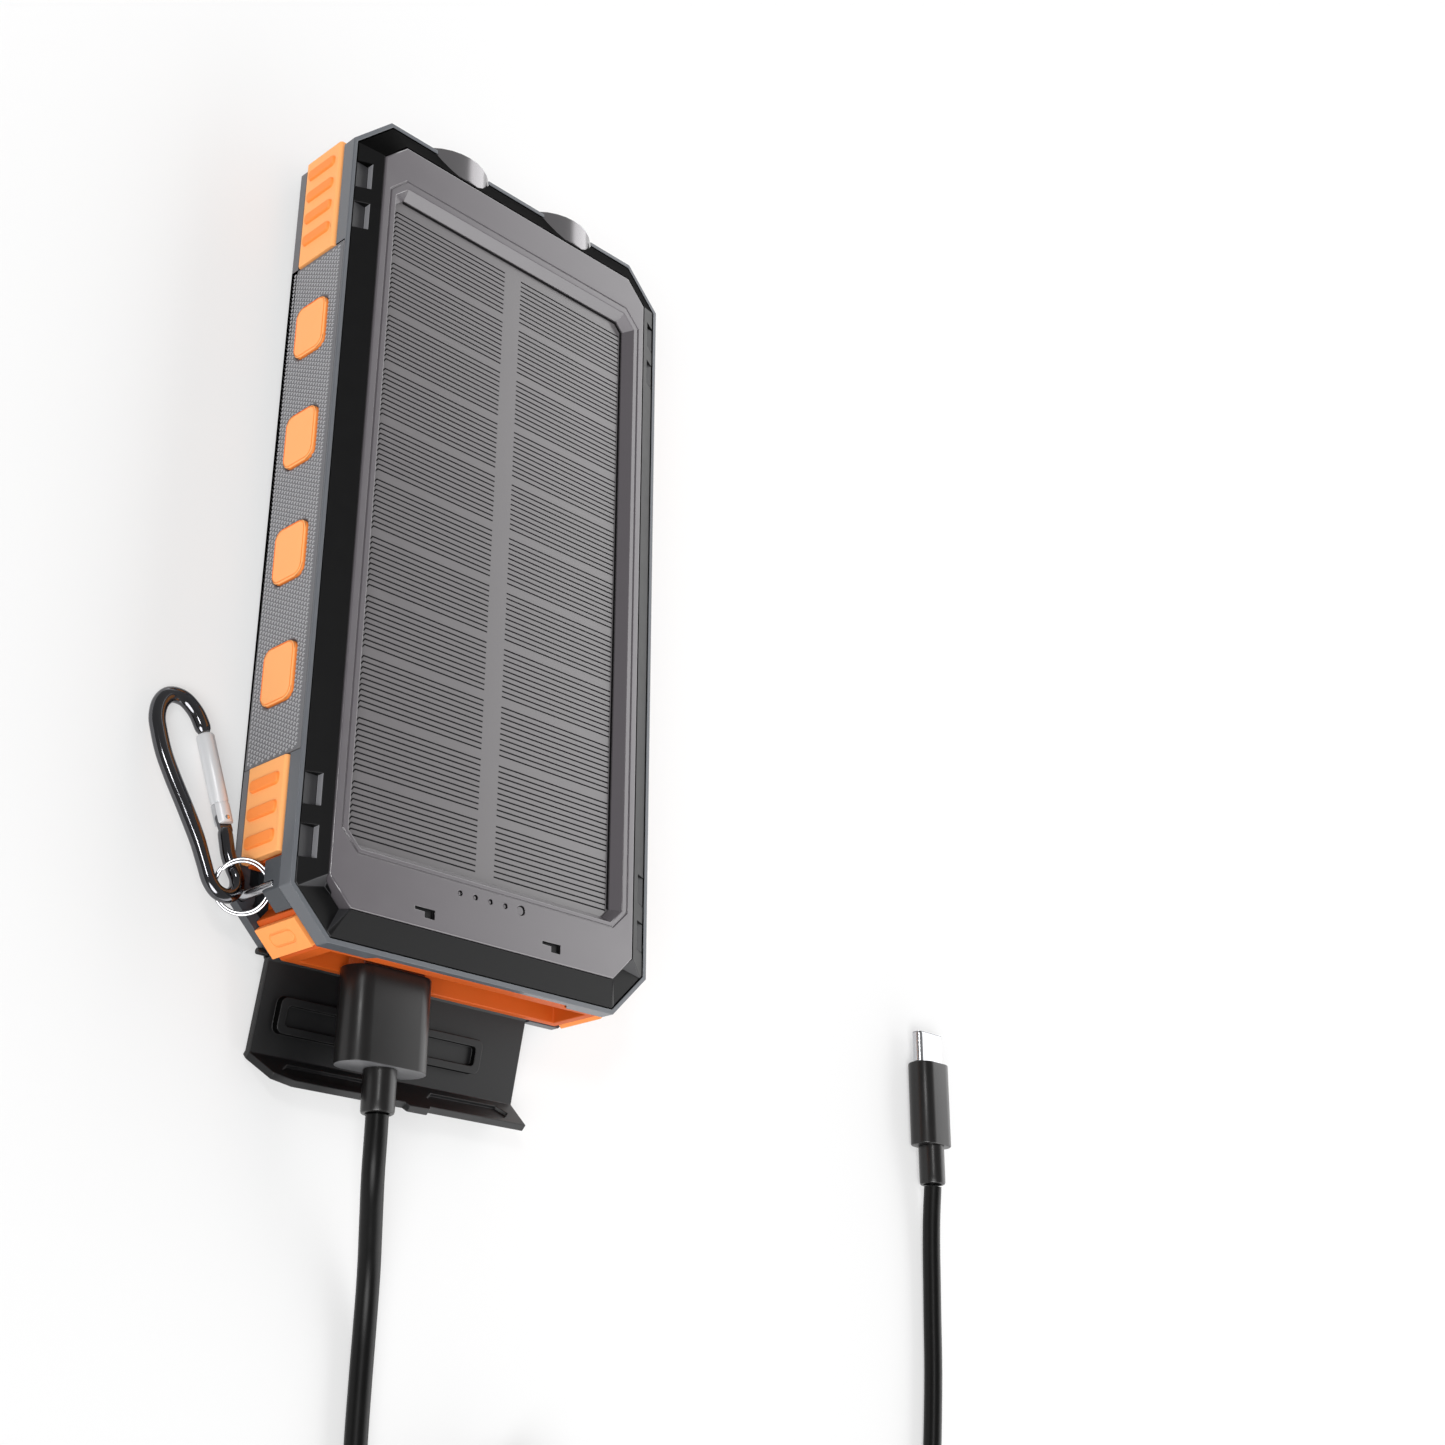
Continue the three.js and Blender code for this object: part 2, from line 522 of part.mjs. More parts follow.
function makeBumper([y0, y1], firstRidge, step, count) {
  let bumper = box([bumperInner, HALF_WIDTH + 0.35], [y0, y1], BUMPER_Z);
  const zMiddle = (BUMPER_Z[0] + BUMPER_Z[1]) / 2;
  for (let i = 0; i < count; i++) {
    bumper = bumper.add(roundedPlateX(
      firstRidge + i * step, zMiddle, RIDGE_LENGTH / 2, RIDGE_HEIGHT / 2, 0.7,
      HALF_WIDTH, HALF_WIDTH + 0.85, 4
    ));
  }
  // the edges towards the face and the back are eased
  for (const [z, sign] of [[BUMPER_Z[1], 1], [BUMPER_Z[0], -1]]) {
    const corner = [
      [HALF_WIDTH - 0.15, z + sign * 0.1], [HALF_WIDTH + 1, z + sign * 0.1], [HALF_WIDTH + 1, z - sign * 1],
    ];
    if (sign < 0) corner.reverse();
    bumper = bumper.subtract(prism(corner, -y1 - 1, -y0 + 1).rotate([90, 0, 0]));
  }
  return bumper;
}
const topBumper = makeBumper(TOP_BUMPER_Y, TOP_RIDGE_Y, -RIDGE_PITCH, 4);
const bottomBumper = makeBumper(BOTTOM_BUMPER_Y, BOTTOM_RIDGE_Y, -RIDGE_PITCH, 3);
addPiece('bumper_top_left', mirrorX(topBumper), LIGHT_ORANGE);
addPiece('bumper_top_right', topBumper, LIGHT_ORANGE);
addPiece('bumper_bottom_left', mirrorX(bottomBumper), LIGHT_ORANGE);
addPiece('bumper_bottom_right', bottomBumper, LIGHT_ORANGE);

/** The plate on the slanted corner, with a slot outline that is round at its ends. */
function makeCornerPlate(from, to) {
  const zMiddle = (BUMPER_Z[0] + BUMPER_Z[1]) / 2;
  const slot = prism(roundedRectangle(1.25, 3.1, 1.2), 0, 1)
    .subtract(prism(roundedRectangle(0.95, 2.8, 0.9), -1, 3))
    .rotate([90, 0, 45])
    .translate([HALF_WIDTH - RIM_CHAMFER / 2, -HALF_LENGTH + RIM_CHAMFER / 2, zMiddle]);
  const shift = (from + to) / 2 + 0.1;
  const out = -0.35 + 0.25;
  const plate = cornerBox([from, to], [-0.35, 0.75], BUMPER_Z);
  return plate.subtract(slot.translate([
    (shift - out) * Math.SQRT1_2, (shift + out) * Math.SQRT1_2, 0,
  ]));
}
addPiece('corner_plate_right', makeCornerPlate(-5.2, 5.2), LIGHT_ORANGE);
addPiece('corner_plate_left', mirrorX(makeCornerPlate(-5.2, 0.2)), LIGHT_ORANGE);

// ---------------------------------------------------------------- torches

for (const [side, x] of [['left', -TORCH_X], ['right', TORCH_X]]) {
  const housing = barrelY(x, TORCH_Z, TORCH_RADIUS, ...TORCH_Y)
    .subtract(barrelY(x, TORCH_Z, 8.3, 75.3, 90))
    .subtract(barrelY(x, TORCH_Z, REFLECTOR_RADIUS + 0.3, 60, 90));
  addPiece(`torch_housing_${side}`, housing, SMOOTH_GREY);
  const reflector = barrelY(x, TORCH_Z, REFLECTOR_RADIUS, REFLECTOR_BACK_Y, 75.2, 32)
    .subtract(barrelY(x, TORCH_Z, 2.2, REFLECTOR_BACK_Y + 1, 75.3, 32, 6.8));
  addPiece(`torch_reflector_${side}`, reflector, BRIGHT_STEEL);
  addPiece(`torch_lens_${side}`, barrelY(x, TORCH_Z, 8.1, 75.5, 76.9, 32), CLEAR);
}

// ---------------------------------------------------------------- battery and electronics

const cellOutline = roundedRectangle(31, 52, 2, 3).map(([x, y]) => [x, y + 4]);
addPiece('battery_cell_rear', prism(cellOutline, 2.3, 8.7), CELL_FOIL);
addPiece('battery_cell_front', prism(cellOutline, 9, 15.4), CELL_FOIL);
addPiece('main_board', box([-24.5, 27.5], [-69.5, -49.5], [7.1, 8.1])
  .subtract(barrelZ(-24.5, -60, 3.5, 0, 20)).subtract(barrelZ(24.5, -60, 3.5, 0, 20)), CIRCUIT_GREEN);

USB_A_X.forEach((x, i) => {
  const port = box([x - 6.75, x + 6.75], [-71.8, -58.5], [USB_A_Z - 2.95, USB_A_Z + 2.95])
    .subtract(box([x - 6.4, x + 6.4], [-73, -58.9], [USB_A_Z - 2.6, USB_A_Z + 2.6]));
  addPiece(`usb_a_port_${i + 1}`, port, BRIGHT_STEEL);
  addPiece(`usb_a_tongue_${i + 1}`, box([x - 5.1, x + 5.1], [-71.1, -59.1], [USB_A_Z + 0.1, USB_A_Z + 1.5]),
    BLACK_PLASTIC);
});
const inputPort = roundedBarY(USB_C_X, USB_A_Z, 4.5, 1.7, 1.6, -71.9, -64.5)
  .subtract(roundedBarY(USB_C_X, USB_A_Z, 4.15, 1.35, 1.3, -80, -65));
addPiece('usb_c_port', inputPort, BRIGHT_STEEL);

// ---------------------------------------------------------------- port cover

function makePortCover() {
  // drawn lying flat: out along -Y from the hinge axis, lip rising to +Z, then tilted
  let cover = box([COVER_X[0], COVER_X[1]], [-COVER_LENGTH, 0], [-COVER_THICKNESS / 2, COVER_THICKNESS / 2]);
  cover = cover.add(barrelX(0, 0, 1.2, COVER_X[0], COVER_X[1]));
  cover = cover.subtract(barrelX(0, 0, 0.65, COVER_X[0] - 1, COVER_X[1] + 1));
  // the lip, cut at a slant on the left, with two shallow windows and a thumb tab
  let lip = prism([
    [COVER_X[0], -1.2], [COVER_X[1], -1.2], [COVER_X[1], COVER_LIP], [2.2, COVER_LIP], [1.7, COVER_LIP + 0.8],
    [-2.4, COVER_LIP + 0.8], [-2.9, COVER_LIP], [COVER_X[0] + 6, COVER_LIP], [COVER_X[0] + 2.6, 4.6],
    [COVER_X[0], 0],
  ], 0, COVER_THICKNESS);
  for (const [x0, x1] of [[-24, -9], [4.5, 18.5]]) {
    lip = lip.subtract(prism([
      [x0, 1.5], [x1, 1.5], [x1 + 1.7, 3.1], [x1, 4.7], [x0, 4.7], [x0 - 1.7, 3.1],
    ], -1, 0.6));
  }
  lip = lip.rotate([180 - COVER_LIP_BEND_DEG, 0, 0]);
  cover = cover.add(lip.translate([0, -COVER_LENGTH, COVER_THICKNESS / 2]));
  // the raised seal that presses into the port recess
  const sealX = (-27.2 + 13.4) / 2;
  const seal = prism(roundedRectangle(20.4, 2.9, 1.2, 4), 0, 2)
    .subtract(prism(roundedRectangle(19, 1.6, 0.7, 4), 1, 3));
  cover = cover.add(seal.translate([sealX, -8.9, 0]));
  return cover.rotate([COVER_OPEN_DEG - 90, 0, 0]).translate([0, COVER_AXIS.y, COVER_AXIS.z]);
}
addPiece('port_cover', makePortCover(), BLACK_RUBBER);
addPiece('port_cover_pin', barrelX(COVER_AXIS.y, COVER_AXIS.z, 0.55, COVER_X[0] - 2, COVER_X[1] + 2, 16),
  BRIGHT_STEEL);

// ---------------------------------------------------------------- lanyard post, bracket, ring

const bracketOutline = [
  [-32.3, -63.8], [-HALF_WIDTH + 0.1, -63.8], [-HALF_WIDTH + 0.1, -HALF_LENGTH + RIM_CHAMFER],
  [-34.65, -71.75], [-32.5, -69.2],
];
const bracket = prism(bracketOutline, 12.4, FRONT_SEAM_Z - GAP)
  .subtract(barrelZ(POST.x, POST.y, POST.radius + 0.1, 10, 15));
addPiece('lanyard_bracket', bracket, SMOOTH_GREY);
addPiece('lanyard_post', barrelZ(POST.x, POST.y, POST.radius, 3, 14.8, 16), BRIGHT_STEEL);

const ringFrame = new THREE.Group();
ringFrame.position.set(...RING_CENTRE);
ringFrame.quaternion.setFromUnitVectors(
  new THREE.Vector3(0, 1, 0), new THREE.Vector3(...RING_NORMAL).normalize()
);
object.add(ringFrame);
const ringSection = roundedRectangle(RING.radial / 2, RING.axial / 2, 0.3, 1)
  .map(([r, h]) => new THREE.Vector2(r + RING.radius, h));
ringSection.push(ringSection[0].clone());
addPiece('split_ring', new THREE.LatheGeometry(ringSection, 32), BRIGHT_STEEL, ringFrame);

// ---------------------------------------------------------------- carabiner

const CARABINER_EYE = [-39.64, -68.43, 7.53]; // a point beside the wire at the bottom of the eye
const carabinerFrame = new THREE.Group();
{
  const along = new THREE.Vector3(...CARABINER_AXIS).normalize();
  const across = new THREE.Vector3(...CARABINER_ACROSS);
  across.addScaledVector(along, -across.dot(along)).normalize();
  const normal = new THREE.Vector3().crossVectors(along, across);
  carabinerFrame.matrixAutoUpdate = false;
  carabinerFrame.matrix.makeBasis(along, across, normal).setPosition(...CARABINER_EYE);
}
object.add(carabinerFrame);

// Wire centreline in the carabiner's own plane: x from the eye to the wide end, y across.
const carabinerPath = [
  [10.6, 2.15], [8.6, 1.8], [6.2, 1.4], [4, 1.45], [2, 1.6], [0.3, 0.8], [-0.5, -0.9], [0.3, -2.5],
  [2.2, -3.3], [5, -3.35], [9, -3.3], [14, -3.7], [20, -4.4], [24, -4.65], [27.6, -4.6], [30.2, -4.2],
  [32.8, -2.6], [34, -0.4], [33.3, 1.9], [31, 3.3], [28.9, 3.7], [27.2, 3.75],
];
const wireCurve = new THREE.CatmullRomCurve3(
  carabinerPath.map(([x, y]) => new THREE.Vector3(x, y, 0)), false, 'centripetal'
);
const HINGE_X = 12;
const HINGE_Y = 2.3;
const GATE_END_X = 26.85;
const carabinerWire = solidOf(tubeAlong(wireCurve, CARABINER_WIRE, 44, 8));
const tongue = box([10.2, 13.4], [HINGE_Y - 1.2, HINGE_Y + 1.2], [-0.4, 0.4])
  .subtract(barrelZ(HINGE_X, HINGE_Y, 0.5, -2, 2, 12));
addPiece('carabiner_body', carabinerWire.add(tongue), DARK_CHROME, carabinerFrame);

function makeGate() {
  const start = new THREE.Vector3(HINGE_X - 0.85, HINGE_Y, 0);
  const end = new THREE.Vector3(GATE_END_X, 3.75, 0);
  let gate = solidOf(tubeAlong(new THREE.LineCurve3(start, end), GATE_RADIUS, 1, 16));
  gate = gate.subtract(box([9, 15], [-5, 10], [-0.6, 0.6]));
  return gate.subtract(barrelZ(HINGE_X, HINGE_Y, 0.5, -3, 3, 12));
}
addPiece('carabiner_gate', makeGate(), BRIGHT_STEEL, carabinerFrame);
addPiece('gate_pin', barrelZ(HINGE_X, HINGE_Y, 0.4, -1.45, 1.45, 12), BRIGHT_STEEL, carabinerFrame);

// ---------------------------------------------------------------- charging cable

const plugX = USB_A_X[0];
const plugFront = -HALF_LENGTH + 0.1;
const plugBack = plugFront - PLUG_LENGTH;
addPiece('usb_a_plug', roundedBarY(plugX, USB_A_Z, PLUG_HALF_WIDTH, PLUG_RADIUS, PLUG_RADIUS - 0.05,
  plugBack, plugFront, 6), BLACK_PLASTIC);
const plugShell = box([plugX - 6, plugX + 6], [plugFront + 0.05, -65.4], [USB_A_Z - 2.25, USB_A_Z + 2.25])
  .subtract(box([plugX - 5.7, plugX + 5.7], [plugFront + 0.6, -60], [USB_A_Z - 0.2, USB_A_Z + 1.95]));
addPiece('usb_a_plug_shell', plugShell, BRIGHT_STEEL);
const reliefEnd = plugBack - 0.05 - RELIEF_LENGTH;
addPiece('usb_a_strain_relief', barrelY(plugX, USB_A_Z, RELIEF_RADIUS, reliefEnd, plugBack - 0.05, 24),
  BLACK_PLASTIC);

const CABLE_Z = CABLE_DIAMETER / 2 + 0.06; // cable centre where it lies
const leadRoute = [
  [plugX, reliefEnd - 0.3, USB_A_Z], [plugX, reliefEnd - 4, USB_A_Z], [plugX + 0.6, reliefEnd - 9, 10.6],
  [plugX + 3.2, reliefEnd - 16, 7.4], [plugX + 5.8, reliefEnd - 23, 4.2], [plugX + 7, reliefEnd - 30, 2.5],
  [-5.1, -138, CABLE_Z + 0.1], [-5.1, -147, CABLE_Z], [-4.9, -157, CABLE_Z], [-5.2, -168, CABLE_Z],
  [-5.2, -176, CABLE_Z],
];
const tailRoute = [
  [28, -207.2, 4.4], [40, -207.4, 2.9], [52, -207.2, CABLE_Z + 0.25], [66, -207, CABLE_Z], [84, -205.5, CABLE_Z],
  [102, -200, CABLE_Z], [118, -188, CABLE_Z], [129, -172, CABLE_Z], [135, -152, CABLE_Z],
  [137.6, -132, CABLE_Z], [138.5, -113, CABLE_Z], [138.6, -98, 2.4], [FAR_PLUG.x, -90.4, FAR_PLUG.z],
];
const routeCurve = (route) =>
  new THREE.CatmullRomCurve3(route.map((p) => new THREE.Vector3(...p)), false, 'centripetal');
const leadCurve = routeCurve(leadRoute);
const tailCurve = routeCurve(tailRoute);
addPiece('cable_lead', tubeAlong(leadCurve, CABLE_DIAMETER / 2, 26), BLACK_PLASTIC);
addPiece('cable_tail', tubeAlong(tailCurve, CABLE_DIAMETER / 2, 30), BLACK_PLASTIC);

const coilInner = COIL_RADII[0] - CABLE_DIAMETER / 2 - 0.2;
const coilOuter = COIL_RADII[2] + CABLE_DIAMETER / 2 + 0.2;
const coilHeight = 2 * CABLE_DIAMETER + 0.3;
const coil = barrelZ(...COIL_CENTRE, coilOuter, 0, coilHeight, 40)
  .subtract(barrelZ(...COIL_CENTRE, coilInner, -1, coilHeight + 1, 40));
addPiece('cable_coil', coil, BLACK_PLASTIC);
const tie = box([-1.8, 1.8], [coilInner - 1.3, coilOuter + 1.3], [0.3, coilHeight + 1.3])
  .subtract(box([-3, 3], [coilInner - 0.3, coilOuter + 0.3], [-1, coilHeight + 0.3]))
  .translate([...COIL_CENTRE, 0]);
addPiece('cable_tie', tie, BLACK_RUBBER);

const { x: farX, z: farZ, halfWidth: farHalf, radius: farRadius } = FAR_PLUG;
addPiece('usb_c_plug', roundedBarY(farX, farZ, farHalf, farRadius, farRadius - 0.05, ...FAR_PLUG.y, 6),
  BLACK_PLASTIC);
addPiece('usb_c_strain_relief', barrelY(farX, farZ, RELIEF_RADIUS, FAR_PLUG.y[0] - 8, FAR_PLUG.y[0] - 0.05, 24),
  BLACK_PLASTIC);
addPiece('usb_c_plug_shell', roundedBarY(farX, farZ, 4.15, 1.25, 1.2, FAR_PLUG.y[1] + 0.05, FAR_PLUG.y[1] + 6.6)
  .subtract(roundedBarY(farX, farZ, 3.85, 0.95, 0.9, FAR_PLUG.y[1] + 0.8, FAR_PLUG.y[1] + 8)), BRIGHT_STEEL);

export default object;
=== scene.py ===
"""The looks of a rugged solar phone charger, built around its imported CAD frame.

The charger lies on its back with its port cover open and a charging cable in its first socket.
Lengths in this script are in millimetres and become metres where an object is made (MM).
Axes are the frame's: +X to the right of the solar panel, +Y to the torches, +Z out of the panel.
"""

import json
import math

import bmesh
import bpy
import numpy as np
from mathutils import Matrix, Vector


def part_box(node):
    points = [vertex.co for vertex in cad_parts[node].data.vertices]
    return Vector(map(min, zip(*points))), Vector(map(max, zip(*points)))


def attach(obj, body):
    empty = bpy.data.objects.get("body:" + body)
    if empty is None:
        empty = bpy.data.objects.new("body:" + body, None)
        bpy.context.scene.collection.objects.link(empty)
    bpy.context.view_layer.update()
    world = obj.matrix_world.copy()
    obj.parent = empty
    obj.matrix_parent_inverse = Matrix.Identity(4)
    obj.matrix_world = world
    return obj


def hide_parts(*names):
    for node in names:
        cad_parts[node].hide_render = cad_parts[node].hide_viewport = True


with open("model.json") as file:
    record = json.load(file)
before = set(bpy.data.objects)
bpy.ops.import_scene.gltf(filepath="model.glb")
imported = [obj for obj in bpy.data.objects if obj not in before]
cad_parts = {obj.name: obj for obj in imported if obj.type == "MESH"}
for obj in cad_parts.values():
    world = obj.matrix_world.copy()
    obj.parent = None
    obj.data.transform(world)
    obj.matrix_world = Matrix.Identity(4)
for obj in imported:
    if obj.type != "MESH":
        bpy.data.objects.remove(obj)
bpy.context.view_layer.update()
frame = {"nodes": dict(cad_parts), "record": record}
MM = 0.001
RECORD = frame["record"]
BODY_OF = {node: body for body, nodes in RECORD["behaviour"]["bodies"].items() for node in nodes}


def cad_range(node):
    """Lowest and highest corner of a CAD node, in millimetres."""
    low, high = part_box(node)
    return np.array(low) / MM, np.array(high) / MM


def cad_y(node):
    """Where a CAD node begins and ends along Y."""
    low, high = cad_range(node)
    return low[1], high[1]


def cad_centre(node):
    low, high = cad_range(node)
    return (low + high) / 2


# ---------------------------------------------------------------- camera and studio

CAMERA_PLACE = (-202.58, -163.83, 265.99)
CAMERA_RIGHT = (0.688230, 0.000119, 0.725493)
CAMERA_UP = (-0.279783, 0.922691, 0.265261)
CAMERA_BACK = (-0.669374, -0.385541, 0.635057)
CAMERA_LENS = 50.3
SENSOR_WIDTH = 36
NEAREST_SEEN = 0.01  # metres


def add_camera():
    data = bpy.data.cameras.new("camera")
    data.lens = CAMERA_LENS
    data.sensor_width = SENSOR_WIDTH
    data.clip_start = NEAREST_SEEN
    camera = bpy.data.objects.new("camera", data)
    turn = Matrix((CAMERA_RIGHT, CAMERA_UP, CAMERA_BACK)).transposed()
    camera.matrix_world = Matrix.Translation(Vector(CAMERA_PLACE) * MM) @ turn.to_4x4()
    bpy.context.scene.collection.objects.link(camera)
    bpy.context.scene.camera = camera


KEYS = (  # place, strength, width in degrees
    ((-0.8, -0.6, 0.9), 2.4, 35),
    ((-0.6, 0.25, 0.76), 0.4, 9),
)


def add_key(place, strength, width_deg):
    """A distant soft light that shines evenly from a place towards the charger."""
    data = bpy.data.lights.new("key", "SUN")
    data.energy = strength
    data.angle = math.radians(width_deg)
    light = bpy.data.objects.new("key", data)
    light.location = Vector(place)
    light.rotation_euler = (-Vector(place)).to_track_quat("-Z", "Y").to_euler()
    bpy.context.scene.collection.objects.link(light)


SKY_AXIS = (-0.7071, 0, 0.7071)
SKY = (  # share of the way along the axis, brightness
    (0.0, 2.6), (0.42, 2.8), (0.505, 2.5), (0.58, 0.3), (1.0, 0.2),
)


def add_world():
    """A grey sky, bright low down and to the right of the charger and dark on its upper left."""
    world = bpy.data.worlds.new("studio")
    world.use_nodes = True
    nodes, links = world.node_tree.nodes, world.node_tree.links
    nodes.clear()
    place = nodes.new("ShaderNodeTexCoord")
    along = nodes.new("ShaderNodeVectorMath")
    along.operation = "DOT_PRODUCT"
    along.inputs[1].default_value = SKY_AXIS
    spread = nodes.new("ShaderNodeMapRange")
    spread.inputs["From Min"].default_value = -1.0
    ramp = nodes.new("ShaderNodeValToRGB")
    sky = nodes.new("ShaderNodeBackground")
    out = nodes.new("ShaderNodeOutputWorld")
    stops = ramp.color_ramp.elements
    while len(stops) < len(SKY):
        stops.new(0.5)
    for stop, (position, level) in zip(stops, SKY):
        stop.position = position
        stop.color = (level, level, level, 1)
    links.new(place.outputs["Generated"], along.inputs[0])
    links.new(along.outputs["Value"], spread.inputs["Value"])
    links.new(spread.outputs["Result"], ramp.inputs[0])
    links.new(ramp.outputs[0], sky.inputs["Color"])
    links.new(sky.outputs[0], out.inputs[0])
    bpy.context.scene.world = world
    bpy.context.scene.view_settings.view_transform = "Standard"


# ---------------------------------------------------------------- materials


def srgb(red, green, blue):
    """A colour given as 0-255 screen values, as the linear values a shader takes."""
    return tuple(
        v / 12.92 if v <= 0.04045 else ((v + 0.055) / 1.055) ** 2.4
        for v in (red / 255, green / 255, blue / 255)
    )


class Look:
    """A procedural material: a shader, its node graph, and the coordinates its patterns use."""

    def __init__(self, name, colour, roughness, metallic=0.0, **sockets):
        self.material = bpy.data.materials.new(name)
        self.material.use_nodes = True
        self.nodes = self.material.node_tree.nodes
        self.links = self.material.node_tree.links
        self.shader = self.nodes["Principled BSDF"]
        self.colour = colour
        self.roughness = roughness
        self.shader.inputs["Base Color"].default_value = (*colour, 1)
        self.shader.inputs["Roughness"].default_value = roughness
        self.shader.inputs["Metallic"].default_value = metallic
        for socket, value in sockets.items():
            self.shader.inputs[socket.replace("_", " ")].default_value = value
        self.place = self.nodes.new("ShaderNodeTexCoord").outputs["Object"]

    def noise(self, scale, detail=3.0, stretch=None):
        """Noise in object space; scale is in cycles per metre."""
        texture = self.nodes.new("ShaderNodeTexNoise")
        texture.inputs["Scale"].default_value = scale
        texture.inputs["Detail"].default_value = detail
        place = self.place
        if stretch:
            mapping = self.nodes.new("ShaderNodeMapping")
            mapping.inputs["Scale"].default_value = stretch
            self.links.new(place, mapping.inputs["Vector"])
            place = mapping.outputs["Vector"]
        self.links.new(place, texture.inputs["Vector"])
        return texture.outputs["Fac"]

    def vary_colour(self, scale, amount):
        """Let the colour drift between a darker and a lighter value."""
        mix = self.nodes.new("ShaderNodeMix")
        mix.data_type = "RGBA"
        mix.inputs["A"].default_value = (*[c * (1 - amount) for c in self.colour], 1)
        mix.inputs["B"].default_value = (*[min(1, c * (1 + amount)) for c in self.colour], 1)
        self.links.new(self.noise(scale, detail=4.0), mix.inputs["Factor"])
        self.links.new(mix.outputs["Result"], self.shader.inputs["Base Color"])
        return self

    def vary_roughness(self, scale, amount, stretch=None):
        """Let the surface drift between glossier and duller."""
        spread = self.nodes.new("ShaderNodeMapRange")
        spread.inputs["To Min"].default_value = max(0.02, self.roughness - amount)
        spread.inputs["To Max"].default_value = min(1.0, self.roughness + amount)
        self.links.new(self.noise(scale, stretch=stretch), spread.inputs["Value"])
        self.links.new(spread.outputs["Result"], self.shader.inputs["Roughness"])
        return self

    def grain(self, scale, depth, strength=0.4, stretch=None):
        """A moulded or brushed surface; depth is in millimetres."""
        bump = self.nodes.new("ShaderNodeBump")
        bump.inputs["Strength"].default_value = strength
        bump.inputs["Distance"].default_value = depth * MM
        self.links.new(self.noise(scale, detail=2.0, stretch=stretch), bump.inputs["Height"])
        self.links.new(bump.outputs["Normal"], self.shader.inputs["Normal"])
        return self


MOULD_COLOUR = (60, 0.05)  # pattern in cycles per metre, and its amount
MOULD_GLOSS = (350, 0.05)
MOULD_GRAIN = 3500
POLISH_COLOUR = (120, 0.04)
POLISH_GLOSS = (900, 0.04)
POLISH_GRAIN = 2500
POLISH_DEPTH = 0.004
POLISH_STRENGTH = 0.2
POLISH_STRETCH = ((1, 0.15, 1), (1, 0.1, 1))  # of the gloss and of the grain, along Y
CLEAR_GLOSS = (400, 0.02)
CLEAR_GRAIN = 1200


def moulded(name, colour, roughness, depth, **sockets):
    """Moulded plastic or rubber with a fine spark-eroded grain of that depth."""
    look = Look(name, colour, roughness, **sockets)
    look.vary_colour(*MOULD_COLOUR).vary_roughness(*MOULD_GLOSS)
    return look.grain(MOULD_GRAIN, depth).material


def polished(name, colour, roughness):
    """Metal with faint polishing marks."""
    look = Look(name, colour, roughness, metallic=1.0)
    gloss_stretch, grain_stretch = POLISH_STRETCH
    look.vary_colour(*POLISH_COLOUR).vary_roughness(*POLISH_GLOSS, gloss_stretch)
    return look.grain(POLISH_GRAIN, POLISH_DEPTH, POLISH_STRENGTH, grain_stretch).material


def clear_plastic(name, tint, roughness):
    look = Look(name, tint, roughness, Transmission_Weight=1.0, IOR=1.46)
    look.vary_roughness(*CLEAR_GLOSS)
    return look.grain(CLEAR_GRAIN, POLISH_DEPTH, POLISH_STRENGTH).material


def bright_orange(name, colour):
    return moulded(name, colour, 0.55, 0.015, Specular_IOR_Level=0.3)


